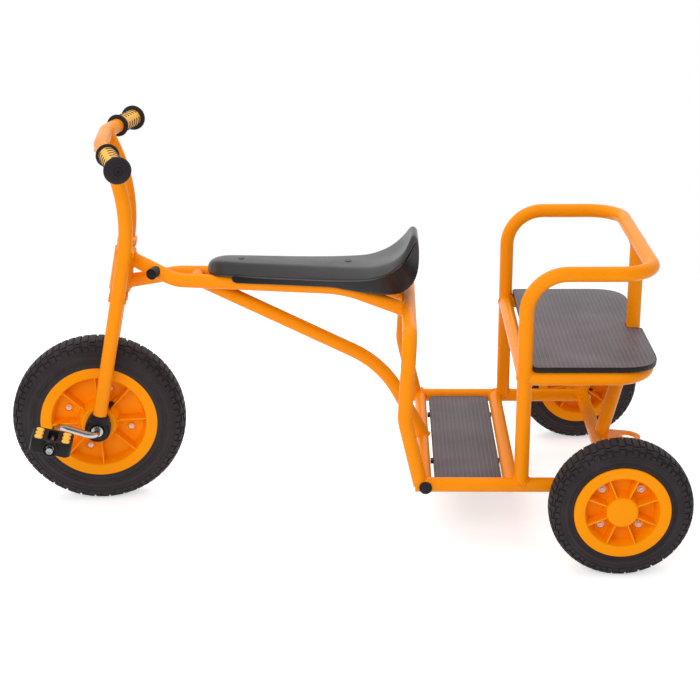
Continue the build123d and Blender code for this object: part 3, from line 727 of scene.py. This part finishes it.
# ---- pedals -------------------------------------------------------------------------------------
PEDAL_SLOT, PEDAL_BLOCK = (17, 40, 4), (70, 52, 8)  # length, width and corner radius
PAD_HALF = (7.4, 21.5)  # half width and half length
PAD_UNDER, PAD_FOOT, CUSHION = 11.5, 12.4, 3.3  # heights of its underside and rim, and its humps
BUSH = (  # a sleeve round the spindle, from inside the block outwards
    (8.2, 20), (13.4, 20), (14.2, 21), (13.4, 32.6), (12.6, 33.4), (11.2, 33.4), (10.6, 32.2),
    (9.2, 30.2), (8.2, 30),
)


def rounded_loop(length, width, radius, count=160):
    """Points round a rounded rectangle, evenly spread by angle of its own superellipse."""
    angle = circle(count)
    exponent = 2 / (2 + 1.1 * min(length, width) / radius)
    x, y = power(np.cos(angle), exponent), power(np.sin(angle), exponent)
    return np.stack([length / 2 * x, width / 2 * y], -1)


def pedal_block(where):
    """The pedal's block as one closed surface round its slot.

    Each point of the slot's rim is joined to a point of the outer edge by a rounded section: up
    the slot's wall, over the top, down the outer wall and back underneath. The top rises towards
    both ends and drops at the corners, and the outer wall bulges slightly at half height.
    """
    inner, outer = rounded_loop(*PEDAL_SLOT), rounded_loop(*PEDAL_BLOCK)
    corners = [(0, 0), (0, 1), (1, 1), (1, -1), (0, -1), (0, 0)]
    section = rounded_path(corners, (0.05, 0.14, 0.14, 0.05), 6)[:-1]
    t, level = section[:, 0][None], section[:, 1][None]
    flat = inner[:, None] * (1 - t[..., None]) + outer[:, None] * t[..., None]
    x, y = np.abs(flat[..., 0]), np.abs(flat[..., 1])
    high = level * (12.2 + 1.3 * step(x, 10, 33) - 2.0 * (step(x, 24, 35) * step(y, 14, 26)))
    bulge = 1 + 0.012 * (1 - level**2) * (t > 0.95)
    return place(np.concatenate([flat * bulge[..., None], high[..., None]], -1) * MM, where)


def bump_pad(where, way):
    """A rubber pad of three cushions in a row, standing on the pedal's face.

    Its height over a rounded rectangle is a power of three cosine humps, sunk at the rim, and
    its sides are drawn in between the humps.
    """
    x, y = np.linspace(-1, 1, 15)[:, None], np.linspace(-1, 1, 49)[None]
    hump = np.clip(np.abs(np.cos(1.5 * math.pi * y)) + 0.02, 0, 1) ** 0.8
    dome = np.clip(1 - np.abs(x) ** 3.2, 0, 1) ** 0.55
    edge = np.clip(1 - np.abs(y) ** 14, 0, 1) ** 0.5
    high = way * (PAD_FOOT + (0.2 + CUSHION * hump * dome) * edge)
    wide, long = PAD_HALF
    grid = np.broadcast_arrays(x * wide * (0.55 + 0.45 * hump), y * long, high)
    points = np.stack(grid, -1)
    under = points.copy()
    under[..., 2] = way * PAD_UNDER
    return place(np.concatenate([points, under[::-1]], axis=0) * MM, where)


# ---- hubs and valves ----------------------------------------------------------------------------
# Outlines of radius and distance out along the axis, in millimetres.
HOUSING = (  # a rounded drum with a seal groove round its shaft
    (6.1, 0.2), (21.8, 0.2), (23.2, 1.6), (23.3, 19.5), (22.9, 21.4), (21.6, 22.4), (20.4, 22.4),
    (20, 21.2), (19.4, 21.2), (19, 23.2), (18.2, 23.8), (13.4, 23.8), (12.6, 23), (11.2, 20.6),
    (6.1, 20.6),
)
HUB_CAP = (
    (0, 26.4), (21.8, 26.4), (24.2, 26), (25.9, 24.6), (26.5, 22.6), (26.5, 19.3), (23.6, 19.3),
    (23.6, 23.6), (0, 23.6),
)
FORK_SHOE = np.array([  # height, then half widths fore and aft and to the side
    (10, 0, 0), (10, 19, 11.4), (16.5, 20.2, 12.4), (22, 17.4, 13.4), (25.8, 14.7, 13.9),
    (27.2, 14.1, 13.6), (27.6, 13.4, 13), (27.6, 0, 0),
])
VALVE = {
    "sleeve": ((0, -2), (7, -2), (6, 6), (4.4, 16), (3.5, 20), (0, 20)),
    "stem": ((0, 19), (2.7, 19), (2.7, 27), (0, 27)),
    "cap": ((0, 24), (4.2, 24), (4.6, 25), (4.6, 36), (4.1, 38.4), (2.6, 39.4), (0, 39.6)),
}


def valve_frame(where, angle, out, lean, swing, way):
    """Where a valve stands askew on the web.

    It leans by one angle in the direction that another turns away from straight outwards.
    """
    angle, lean, swing = (math.radians(part) for part in (angle, lean, swing))
    base = place((out * math.cos(angle), out * math.sin(angle), 0.0), where)
    heading = angle + swing
    outward = math.cos(heading) * where[1] + math.sin(heading) * where[2]
    return stand(base, math.cos(lean) * way * where[3] + math.sin(lean) * outward, where[3])


def fork_shoe(where):
    """A plastic shoe over a fork leg's foot, narrowing upwards from the bearing housing.

    Its outline at each height is a superellipse of the fourth power, wider fore and aft below.
    """
    angles = circle(72)[:, None]
    high, wide, deep = (part[None] * MM for part in FORK_SHOE.T)
    x, y = wide * power(np.cos(angles), 0.5), deep * power(np.sin(angles), 0.5)
    return place(np.stack(np.broadcast_arrays(x, y, high), -1), where)


# ---- welds --------------------------------------------------------------------------------------
def weld_bead(foot, along, radius, wall_point, wall_along, wall_radius, bead=1.9):
    """A rippled bead round the curve where one tube's side meets another tube's side.

    A point of the joining tube at an angle lies on the other tube where its distance to that
    tube's axis equals the radius, which is a quadratic in the distance along the joining tube.
    """
    askew = (0.31, 0.52, 0.79)  # along none of the tubes, so that it can square the frame
    where = stand(foot, along, askew)
    angles = circle(120)[:, None]
    ring = where[0] + radius * (np.cos(angles) * where[1] + np.sin(angles) * where[2])
    axis = unit(wall_along)
    away = ring - np.asarray(wall_point, dtype=float)
    away = away - (away @ axis)[:, None] * axis
    run = where[3] - (where[3] @ axis) * axis
    a, b = run @ run, away @ run
    c = np.sum(away * away, axis=1) - wall_radius**2
    reach = (-b + np.sqrt(np.maximum(b * b - a * c, 0))) / a
    curve = ring + reach[:, None] * where[3]
    ahead = np.roll(curve, -1, 0) - np.roll(curve, 1, 0)
    ahead /= np.linalg.norm(ahead, axis=1)[:, None]
    outward = ring - where[0]
    outward /= np.linalg.norm(outward, axis=1)[:, None]
    outward -= np.sum(outward * ahead, 1)[:, None] * ahead
    outward /= np.linalg.norm(outward, axis=1)[:, None]
    third = np.cross(ahead, outward)
    turn = circle(10)[None, :, None]
    ripples, swell = 30, 0.13
    size = bead * MM * (1 + swell * np.cos(angles[:, None] * ripples))
    across = np.cos(turn) * outward[:, None] + np.sin(turn) * third[:, None]
    return (curve[:, None] + size * across, True, True)


# ---- boards -------------------------------------------------------------------------------------
def board_slab(outline, top, under, edge=1.6, rings=6):
    """A board from its outline, as one closed surface with rounded edges.

    Rings run from the board's middle out over the top, round the edge and back underneath, each
    one the outline drawn in towards its middle point by a share.
    """
    centre = outline.mean(axis=0)
    spread = np.linalg.norm(outline - centre, axis=1)[:, None]
    turn = np.linspace(math.pi / 2, -math.pi / 2, 10)
    bend = np.where(turn > 0, top - edge * MM, under + edge * MM) + edge * MM * np.sin(turn)
    shares = np.concatenate([np.linspace(0, 1, rings)[:-1], np.ones(12), [0]])
    inset = np.concatenate([np.full(rings, edge), edge * (1 - np.cos(turn)), [edge], [0]])
    height = np.concatenate([np.full(rings, top), bend, [under, under]])
    drawn = 1 - inset[:, None, None] * MM / spread
    flat = centre + (outline - centre) * shares[:, None, None] * drawn
    high = np.broadcast_to(height[:, None, None], (*flat.shape[:2], 1))
    return np.concatenate([flat, high], axis=2).swapaxes(0, 1)


def rounded_outline(corners, radii, spacing=0.006):
    """A closed outline with rounded corners, with extra points along its straight runs."""
    corners = np.asarray(corners, dtype=float)
    ring = np.concatenate([corners[-1:], corners, corners[:1]])
    path = rounded_path(ring, radii, 9)[1:-1]
    points = []
    for start, end in zip(path, np.roll(path, -1, 0)):
        count = max(1, int(np.linalg.norm(end - start) / spacing))
        points.append(start + (end - start) * np.linspace(0, 1, count + 1)[:-1, None])
    return np.concatenate(points)


# ---- properties ---------------------------------------------------------------------------------
def colour_setting(name, description, default):
    """A display colour that a user may change."""
    return FloatVectorProperty(
        name=name, description=description, subtype="COLOR_GAMMA", size=3, min=0.0, max=1.0,
        default=default,
    )


def length_setting(name, description, default, low, high):
    """A length in metres that a user may change."""
    return FloatProperty(
        name=name, description=description, unit="LENGTH", min=low, max=high, default=default
    )


def power_setting(name, description, default):
    """A lamp's power in watts that a user may change."""
    return FloatProperty(name=name, description=description, unit="POWER", min=0.0, default=default)


def level_setting(name, description, default, high=1.0):
    """A plain level that a user may change."""
    return FloatProperty(name=name, description=description, min=0.0, max=high, default=default)


def count_setting(name, description, default):
    """A number of tread blocks that a user may change."""
    return IntProperty(name=name, description=description, min=8, max=80, default=default)


class TricycleFinishes(bpy.types.PropertyGroup):
    """The pieces' colours, and how far apart the boards' ridges are"""

    paint: colour_setting(
        "Frame paint", "Colour of the powder-coated tube frame", (0.99, 0.575, 0.0)
    )
    wheel: colour_setting("Wheel plastic", "Colour of the moulded wheels", (1.0, 0.6, 0.0))
    rubber: colour_setting("Tyre rubber", "Colour of the tyres", (0.18, 0.155, 0.165))
    black: colour_setting(
        "Black plastic", "Colour of the pedals, housings, plugs and saddle pan", (0.12, 0.11, 0.12)
    )
    grip: colour_setting(
        "Grip rubber", "Colour of the grips' flanges and ribs", (0.17, 0.15, 0.165)
    )
    saddle: colour_setting("Saddle", "Colour of the moulded saddle", (0.15, 0.138, 0.145))
    board: colour_setting("Boards", "Colour of the step deck and the bench", (0.37, 0.34, 0.36))
    inlay: colour_setting(
        "Yellow rubber", "Colour of the grip cores and the pedal pads", (0.98, 0.74, 0.3)
    )
    board_pitch: length_setting(
        "Board pitch", "Distance between the pressed ridges of the boards", 0.0075, 0.002, 0.02
    )


class TricycleWheels(bpy.types.PropertyGroup):
    """The tyres' sizes, and how many blocks each tread has"""

    front_radius: length_setting(
        "Front tyre radius", "Radius over the front tread", 0.158, 0.05, 0.4
    )
    front_half_width: length_setting(
        "Front tyre half width", "Half of the front tyre's width", 0.0295, 0.01, 0.08
    )
    rear_radius: length_setting("Rear tyre radius", "Radius over the rear tread", 0.119, 0.05, 0.4)
    rear_half_width: length_setting(
        "Rear tyre half width", "Half of each rear tyre's width", 0.027, 0.01, 0.08
    )
    front_pitches: count_setting("Front tread pitches", "Blocks round the front tyre's crown", 36)
    rear_pitches: count_setting("Rear tread pitches", "Blocks round each rear tyre's crown", 32)


class TricycleStage(bpy.types.PropertyGroup):
    """The light on the tricycle and on the room round it"""

    key_power: power_setting("Main lamp", "Power of the large lamp above and behind", 36.0)
    fill_power: power_setting("Fill lamp", "Power of the soft lamp on the camera's side", 34.0)
    sky: level_setting("Ambient level", "Strength of the even light from all around", 0.6, 2.0)
    floor_lift: level_setting(
        "Floor lift", "Strength added to the floor's own light so that it shows as white", 0.5
    )
    room_front: level_setting(
        "Room front", "Level of the viewer's side of the room in mirrored rays", 0.2
    )


GROUPS = (
    ("tricycle_finishes", TricycleFinishes),
    ("tricycle_wheels", TricycleWheels),
    ("tricycle_stage", TricycleStage),
)
made = {}  # the shared materials, each by a short name


def finishes():
    """The shared materials, made once from the chosen colours."""
    if not made:
        chosen = bpy.context.scene.tricycle_finishes
        paint, wheel, rubber, black, grip, saddle, board, inlay = (
            tuple(getattr(chosen, name))
            for name in ("paint", "wheel", "rubber", "black", "grip", "saddle", "board", "inlay")
        )
        made["paint"] = frame_paint(paint)
        made["wheel"] = moulded_plastic("Wheel Plastic", wheel, 0.34, 0.1)
        made["rubber"] = tyre_rubber(rubber)
        made["black"] = moulded_plastic("Black Plastic", black, 0.42)
        made["grip"] = moulded_plastic("Grip Rubber", grip, 0.6)
        made["saddle"] = moulded_plastic("Saddle Plastic", saddle, 0.33, 0.85, 1100.0, 0.0001)
        # the pan takes the darker black plastic as painted shade under the lip, where the one moulding looks
        # darker
        made["pan"] = moulded_plastic("Saddle Pan", black, 0.3, 0.4)
        made["board"] = pressed_board(board, chosen.board_pitch)
        made["inlay"] = moulded_plastic("Yellow Rubber", inlay, 0.5)
        made["steel"] = plated_steel("Plated Steel", (0.8, 0.8, 0.8), 0.24)
        made["zinc"] = plated_steel("Zinc Plate", (0.95, 0.93, 0.91), 0.4, 0.4)
    return made


# ---- operators ----------------------------------------------------------------------------------
FRONT_SEAT, REAR_SEAT = (0.107, 0.0992), (0.0795, 0.0732)  # radii of a wheel's lip and seat


class TRICYCLE_OT_tyres(bpy.types.Operator):
    """Make the three block-treaded tyres"""

    bl_idname = "tricycle.tyres"
    bl_label = "Tyres"

    def execute(self, context):
        sizes = context.scene.tricycle_wheels
        front = (sizes.front_radius, sizes.front_half_width, *FRONT_SEAT, sizes.front_pitches)
        rear = (sizes.rear_radius, sizes.rear_half_width, *REAR_SEAT, sizes.rear_pitches)
        tyres = [("front_tyre", "front_wheel", FRONT_WHEEL, front)]
        for side, where in REAR_WHEELS.items():
            tyres.append((f"rear_tyre_{side}", f"rear_wheel_{side}", where, rear))
        for node, body, where, section in tyres:
            surface = (tyre_surface(where, *section), True, True)
            make_piece(f"{node}_dressed", [surface], "rubber", "tyre", body, node, 30.0)
        return {"FINISHED"}


class TRICYCLE_OT_wheels(bpy.types.Operator):
    """Make the ribbed wheels and the nuts that hold their halves together"""

    bl_idname = "tricycle.wheels"
    bl_label = "Moulded wheels"

    def execute(self, context):
        # The bore's and boss's radii, the boss's and the web's heights, the radii of the wall's
        # foot, the ring and the lip, the ring's height and the tyre seat's radius.
        front = (0.006, 0.031, 0.036, 0.0015, 0.08, 0.086, FRONT_SEAT[0], 0.0265, FRONT_SEAT[1])
        rear = (0.0076, 0.026, 0.0198, 0.0015, 0.055, 0.0612, REAR_SEAT[0], 0.0275, REAR_SEAT[1])
        wheels = [("front", "front_wheel", "front_rim", FRONT_WHEEL, front, -31.4, 0.060, 0.0034)]
        for side, rib in (("left", 22.5), ("right", 35.0)):
            names = (f"rear_{side}", f"rear_wheel_{side}", f"rear_rim_{side}")
            wheels.append((*names, REAR_WHEELS[side], rear, rib, 0.0447, 0.0042))
        for name, body, node, where, sizes, turn, bolt_circle, nut in wheels:
            turn, web = math.radians(turn), sizes[3]
            rim, nuts = [(wheel_surface(where, sizes, turn), True, True)], []
            collar = np.array([(1.85, -1), (2.5, -1), (2.4, 2.6), (2.3, 3), (1.95, 3), (1.85, 2.6)])
            collar[:, 0] *= nut * 1000
            for way in (1, -1):
                for angle in circle(4, turn + math.pi / 8):
                    x, y = bolt_circle * math.cos(angle), bolt_circle * math.sin(angle)
                    spot = shifted(where, x, y, way * web)
                    spot = stand(spot[0], where[3] * way, where[1])
                    rim.append(ring_of(collar, spot, 40))
                    nuts.append((bolt_head(shifted(spot, z=-0.0003), nut, 0.004), True, False))
            make_piece(f"{name}_wheel_dressed", rim, "wheel", "orange_plastic", body, node, 40.0)
            make_piece(f"{name}_wheel_nuts", nuts, "zinc", "steel", body)
        return {"FINISHED"}


class TRICYCLE_OT_saddle(bpy.types.Operator):
    """Make the saddle's top, the pan below it, its two plugs and the bumpers' screws"""

    bl_idname = "tricycle.saddle"
    bl_label = "Saddle"

    def execute(self, context):
        slot = "saddle_plastic"
        top, pan = (saddle_lip(), False, True), (saddle_pan(), False, True)
        make_piece("saddle_top_dressed", [top], "saddle", slot, "frame", "saddle", 28.0)
        # the pan's darker plastic is painted shade below the saddle's lip
        make_piece("saddle_pan_dressed", [pan], "pan", slot, "frame", "saddle", 28.0)
        plugs = []
        for at, high in ((271, 461.4), (461, 456.2)):
            spot = stand(behind(at, 0, high), (0, 0, 1), (1, 0, 0))
            plugs.append((screw_plug(spot, 0.0068), True, False))
        make_piece("saddle_plugs", plugs, "saddle", slot, "frame")
        head = ((0, 1), (1.6, 1), (2.2, 1.6), (4.2, 1.5), (5, 0.4), (5, -1))
        bumper_turn, bumper_reach = 0.3, 0.0221  # forward share of the way out, axis to face
        screws = []
        for way, high in ((1.0, 444.0), (-1.0, 425.0)):
            out = unit((bumper_turn, way, 0.0))
            face = behind(123, way * 19.5, high) + out * bumper_reach
            screws.append(disc_of(head, stand(face, out, (0, 0, 1)), 40))
        make_piece("bumper_screws", screws, "pan", "black_plastic", "frame")
        return {"FINISHED"}


class TRICYCLE_OT_grips(bpy.types.Operator):
    """Make the two handlebar grips: flanges, yellow cores and black ribs"""

    bl_idname = "tricycle.grips"
    bl_label = "Grips"

    def execute(self, context):
        for side, way, lean in (("left", 1.0, 47), ("right", -1.0, 46)):
            name, where = f"grip_{side}", grip_frame(way)
            black = [ring_of(FLANGE, where), disc_of(GRIP_CAP, where)]
            black += grip_ribs(where, math.radians(lean))
            core = [ring_of(GRIP_CORE, where)]
            make_piece(f"{name}_dressed", black, "grip", "black_rubber", "steering", name, 50.0)
            make_piece(f"{name}_core", core, "inlay", "yellow_rubber", "steering")
        return {"FINISHED"}


class TRICYCLE_OT_pedals(bpy.types.Operator):
    """Make the pedals' blocks, cushioned pads and spindle nuts"""

    bl_idname = "tricycle.pedals"
    bl_label = "Pedals"

    def execute(self, context):
        crank, crank_angle, tilt = 0.073, math.radians(9.5), math.radians(3.0)
        pedal_side, nut_side, pad_out = 0.1655, 0.1917, 0.0235
        reach = np.array([math.cos(crank_angle), 0, math.sin(crank_angle)])
        nuts = []
        for side, way in SIDES:
            spindle, out = way * crank * reach, way * STEERING[2]
            middle = place(spindle + np.array([0, way * pedal_side, 0]), STEERING)
            up = math.cos(tilt) * STEERING[3] - math.sin(tilt) * STEERING[1]
            where = stand(middle, up, STEERING[1])
            block = [(pedal_block(where), True, True)]
            block.append(ring_of(BUSH, stand(middle, out, STEERING[1]), 72))
            spots = [(shifted(where, end * pad_out), face) for face in (1, -1) for end in (-1, 1)]
            pads = [(bump_pad(*spot), True, False) for spot in spots]
            for name, parts, finish, slot, crease in (
                (f"pedal_{side}", block, "black", "black_plastic", 50.0),
                (f"pedal_pads_{side}", pads, "inlay", "yellow_rubber", 60.0),
            ):
                body = f"pedal_{side}"
                make_piece(f"{name}_dressed", parts, finish, slot, body, name, crease)
            tip = place(spindle + np.array([0, way * nut_side, 0]), STEERING)
            nut = bolt_head(stand(tip, out, STEERING[1]), 0.0066, 0.0126, 1.12)
            nuts.append((nut, True, False))
        make_piece("pedal_nuts_dressed", nuts, "steel", "steel", "front_wheel", "pedal_nuts")
        return {"FINISHED"}


class TRICYCLE_OT_hubs(bpy.types.Operator):
    """Make the bearing housings, the rear hub caps and the three valves"""

    bl_idname = "tricycle.hubs"
    bl_label = "Housings, hub caps and valves"

    def execute(self, context):
        drum_side, leg_side = 0.042, 0.054
        for side, way in SIDES:
            inner = place((0, way * drum_side, 0), STEERING)
            drum = stand(inner, way * STEERING[2], STEERING[1])
            shoe = fork_shoe(shifted(STEERING, y=way * leg_side))
            cap = [disc_of(HUB_CAP, REAR_WHEELS[side])]
            for name, parts, finish, slot, body in (
                ("bearing_housing", [ring_of(HOUSING, drum), (shoe, True, False)], "black",
                 "black_plastic", "steering"),
                ("hub_cap", cap, "wheel", "orange_plastic", f"rear_wheel_{side}"),
            ):
                node = f"{name}_{side}"
                make_piece(f"{node}_dressed", parts, finish, slot, body, node, 40.0)
        # Angle on the wheel, distance out, lean, the direction of the lean, side, then the size.
        left, right = REAR_WHEELS["left"], REAR_WHEELS["right"]
        valves = (
            ("front", "front_wheel", FRONT_WHEEL, (235.4, 0.0536, 36.0, 148.5, 1), 1.0),
            ("rear_left", "rear_wheel_left", left, (143.0, 0.046, 48.0, 180.0, -1), 0.7),
            ("rear_right", "rear_wheel_right", right, (210.0, 0.046, 48.0, 180.0, -1), 0.7),
        )
        looks = (("wheel", "orange_plastic"), ("steel", "steel"), ("black", "black_rubber"))
        for name, body, where, spot, size in valves:
            stem = valve_frame(where, *spot)
            for (kind, outline), look in zip(VALVE.items(), looks):
                part = disc_of(np.array(outline) * size, stem, 32)
                make_piece(f"valve_{kind}_{name}", [part], *look, body)
        return {"FINISHED"}


class TRICYCLE_OT_boards(bpy.types.Operator):
    """Make the pressed step deck and the bench board, cut round the guard's post"""

    bl_idname = "tricycle.boards"
    bl_label = "Boards"

    def execute(self, context):
        # Corners behind the front axle and to the left, each with the radius that rounds it.
        front, rear, half = 772.1, 984.0, 219.0  # the bench's edges, and half its width
        post, notch = 970, 13.6  # the guard's post, and the radius of the notch round it
        bench = [(front, -half, 8), (front, half, 8), (rear, half, 64), (rear, 15.5, 2)]
        for turn in np.linspace(0, math.pi, 13):
            bench.append((post - notch * math.sin(turn), notch * math.cos(turn), 0))
        bench += [(rear, -15.5, 2), (rear, -half, 64)]
        deck = [(612, -194, 12), (612, 194, 12), (727, 194, 12), (727, -194, 12)]
        for node, corners, top, thick in (
            ("bench_board", bench, 0.336, 0.0095),
            ("deck_board", deck, 0.123, 0.010),
        ):
            flat = [behind(x, y, 0)[:2] for x, y, _ in corners]
            outline = rounded_outline(flat, [radius * MM for _, _, radius in corners])
            slab = [(board_slab(outline, top, top - thick), True, False)]
            mesh = make_piece(f"{node}_dressed", slab, "board", "board", "frame", node, 50.0).data
            places = np.empty(len(mesh.vertices) * 3)
            mesh.vertices.foreach_get("co", places)
            pressed = (places[2::3] > top - 0.0002).astype(np.float32)
            mesh.attributes.new("pressed", "FLOAT", "POINT").data.foreach_set("value", pressed)
        return {"FINISHED"}


class TRICYCLE_OT_welds(bpy.types.Operator):
    """Lay a rippled bead where each tube meets the tube it is welded to"""

    bl_idname = "tricycle.welds"
    bl_label = "Weld beads"

    def execute(self, context):
        along_x, along_y, up = np.eye(3)
        tube, thin, head = 0.0125, 0.011, 0.019  # radii
        low, high = 119, 314  # heights of the deck's rails and of the bench's support
        support, deck_front, rear_axle, guard_post = 758.6, 595.5, 915, 970  # behind the axle
        bend_front, bend_rear, bridge = 156, 454, 191  # on the main tubes, behind the axle
        wheel_high, rake = 158, math.tan(math.radians(11.8))
        beads = []

        def bead(foot, along, wall_along, wall=None, wall_radius=tube, radius=tube):
            """One bead: the joining tube's foot on the other's axis, and its way out of it."""
            wall = foot if wall is None else wall
            beads.append(weld_bead(foot, along, radius, wall, wall_along, wall_radius))

        for way in (1, -1):
            rail = way * 209
            bead(behind(support, rail, low), up, along_x)
            bead(behind(support, rail, high), -way * along_y, up)
            bead(behind(support, rail, high), -along_x, up)
            bead(behind(rear_axle, rail, low), along_x, along_y)
            bead(behind(742, rail, low), -way * along_y, along_x)
            bead(behind(deck_front, rail, low), -along_x, along_y, wall_radius=thin)
            front_bend = behind(bend_front, way * 23.5, 428.4)
            rear_bend = behind(bend_rear, way * 42, 420.1)
            run = rear_bend - front_bend
            middle = front_bend + run * (bridge - bend_front) / (bend_rear - bend_front)
            bead(middle, -way * along_y, run, radius=thin)
            foot = behind(562, way * 44, 379.5)
            bead(foot, rear_bend - foot, along_y, behind(568, 0, 384))
            top = 466.0 if way > 0 else 418.5  # the left tube meets the head tube higher up
            start = behind((top - wheel_high) * rake + 6, way * 2, top)
            bead(start, front_bend - start, STEERING[3], STEERING[0], head)
        bead(behind(guard_post, 0, high), up, along_y)
        bead(behind(969, 0, 493.5), -up, along_y)
        strut_foot, strut_top = behind(922, 0, 123), behind(967, 0, 308)
        bead(strut_foot, strut_top - strut_foot, along_y, behind(rear_axle, 0, low))
        bead(strut_top, strut_foot - strut_top, along_y, behind(guard_post, 0, high))
        bend, upper_end, lower_end = behind(522, 0, 262), behind(188, 0, 426), behind(596, 0, 122)
        bead(upper_end, bend - upper_end, along_y, behind(bridge, 0, 427.4), thin)
        bead(lower_end, bend - lower_end, along_y, behind(deck_front, 0, low), thin)
        make_piece("frame_weld_beads", beads, "paint", "orange_paint", "frame", None, 60.0)
        beads.clear()
        for way in (1, -1):
            foot = place((0.065, way * BAR_BEND[1], 0.517), STEERING)
            down = np.array([-0.066, 0, -0.087]) @ STEERING[1:]
            bead(foot, down, STEERING[2], place(BAR_BEND * (1, 0, 1), STEERING))
        make_piece("steering_weld_beads", beads, "paint", "orange_paint", "steering", None, 60.0)
        return {"FINISHED"}


class TRICYCLE_OT_finishes(bpy.types.Operator):
    """Give the frame's tubes, boards and small parts their finishes"""

    bl_idname = "tricycle.finishes"
    bl_label = "Frame finishes"

    def execute(self, context):
        by_slot = {
            "orange_paint": "paint", "orange_plastic": "wheel", "board": "board",
            "saddle_plastic": "saddle", "black_plastic": "black", "black_rubber": "black",
            "yellow_rubber": "inlay", "steel": "steel", "tyre": "rubber",
        }
        for part in frame["record"]["subparts"]:
            finish = by_slot[part["material_slot"]]
            if part["node"] == "steerer_bolt":  # painted over with the crown
                finish = "paint"
            for slot in frame["nodes"][part["node"]].material_slots:
                slot.material = finishes()[finish]
        return {"FINISHED"}


def stage_piece(name, points, cells, material):
    """A floor or a wall from its points and its cells' corners."""
    mesh = bpy.data.meshes.new(name)
    mesh.from_pydata(points, [], cells)
    mesh.materials.append(material)
    piece = bpy.data.objects.new(name, mesh)
    bpy.context.scene.collection.objects.link(piece)
    return piece


class TRICYCLE_OT_stage(bpy.types.Operator):
    """Set the pale floor, the soft lamps and the camera"""

    bl_idname = "tricycle.stage"
    bl_label = "Stage"

    def execute(self, context):
        scene, stage = context.scene, context.scene.tricycle_stage
        scene.view_settings.view_transform = "Standard"
        pale = pale_floor(stage.floor_lift, stage.room_front)
        half, room = 14, 9.0  # the floor's half side, and the wall's radius and height
        corners = [(-half, -half, 0), (half, -half, 0), (half, half, 0), (-half, half, 0)]
        floor = stage_piece("floor", corners, [(0, 1, 2, 3)], pale)
        middle = stand((0, 0, 0), (0, 0, 1), (1, 0, 0))
        rows = turned(middle, (room, room), (-0.01, room), circle(96)).swapaxes(0, 1)
        cells = grid_cells(2, 96, False, True).tolist()
        wall = stage_piece("wall", rows.reshape(-1, 3), cells, pale_wall(stage.room_front))
        wall.visible_diffuse = wall.visible_shadow = False

        scene.world = world = bpy.data.worlds.new("Studio")
        world.use_nodes = True
        background = world.node_tree.nodes["Background"]
        background.inputs["Color"].default_value = (1, 1, 1, 1)
        background.inputs["Strength"].default_value = stage.sky

        aim = (0, 0, 0.3)
        for name, spot, energy, size in (
            ("key", (0.3, -0.9, 2.6), stage.key_power, 2.4),
            ("fill", (0.9, 2.6, 1.8), stage.fill_power, 2.0),
        ):
            lamp = bpy.data.lights.new(name, "AREA")
            lamp.energy, lamp.size = energy, size
            holder = bpy.data.objects.new(name, lamp)
            away = np.subtract(spot, aim)
            turn = Matrix(stand(spot, away, np.cross((0, 0, 1), away))[1:].T.tolist())
            holder.matrix_world = Matrix.Translation(spot) @ turn.to_4x4()
            holder.visible_glossy = False
            scene.collection.objects.link(holder)

        camera = bpy.data.cameras.new("camera")
        camera.sensor_width, camera.lens = 36.0, 74.24
        holder = bpy.data.objects.new("camera", camera)
        yaw, pitch, roll = 0.0273, 0.3445, 0.0095
        turn = Euler((math.pi / 2 - pitch, 0, math.pi + yaw)).to_matrix()
        turn = (turn @ Matrix.Rotation(-roll, 3, "Z")).to_4x4()
        holder.matrix_world = Matrix.Translation((-0.0916, 2.4584, 1.1709)) @ turn
        scene.collection.objects.link(holder)
        scene.camera = holder
        return {"FINISHED"}


class TRICYCLE_PT_panel(bpy.types.Panel):
    """Lists the tricycle's pieces in the 3D view's sidebar"""

    bl_idname = "TRICYCLE_PT_panel"
    bl_label = "Cargo Tricycle"
    bl_space_type = "VIEW_3D"
    bl_region_type = "UI"
    bl_category = "Tricycle"

    def draw(self, context):
        for name, _ in GROUPS:
            group = getattr(context.scene, name)
            box = self.layout.box()
            for key in group.bl_rna.properties.keys():
                if key not in ("rna_type", "name"):
                    box.prop(group, key)
        for operator in OPERATORS:
            self.layout.operator(operator.bl_idname)


OPERATORS = (
    TRICYCLE_OT_finishes,
    TRICYCLE_OT_tyres,
    TRICYCLE_OT_wheels,
    TRICYCLE_OT_saddle,
    TRICYCLE_OT_grips,
    TRICYCLE_OT_pedals,
    TRICYCLE_OT_hubs,
    TRICYCLE_OT_boards,
    TRICYCLE_OT_welds,
    TRICYCLE_OT_stage,
)
CLASSES = (*(group for _, group in GROUPS), *OPERATORS, TRICYCLE_PT_panel)


def register():
    for each in CLASSES:
        bpy.utils.register_class(each)
    for name, group in GROUPS:
        setattr(bpy.types.Scene, name, PointerProperty(type=group))


def unregister():
    for name, _ in GROUPS:
        delattr(bpy.types.Scene, name)
    for each in reversed(CLASSES):
        bpy.utils.unregister_class(each)


def main():
    """Register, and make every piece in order."""
    register()
    bpy.ops.tricycle.finishes()
    bpy.ops.tricycle.tyres()
    bpy.ops.tricycle.wheels()
    bpy.ops.tricycle.saddle()
    bpy.ops.tricycle.grips()
    bpy.ops.tricycle.pedals()
    bpy.ops.tricycle.hubs()
    bpy.ops.tricycle.boards()
    bpy.ops.tricycle.welds()
    bpy.ops.tricycle.stage()


if __name__ == "__main__":
    main()
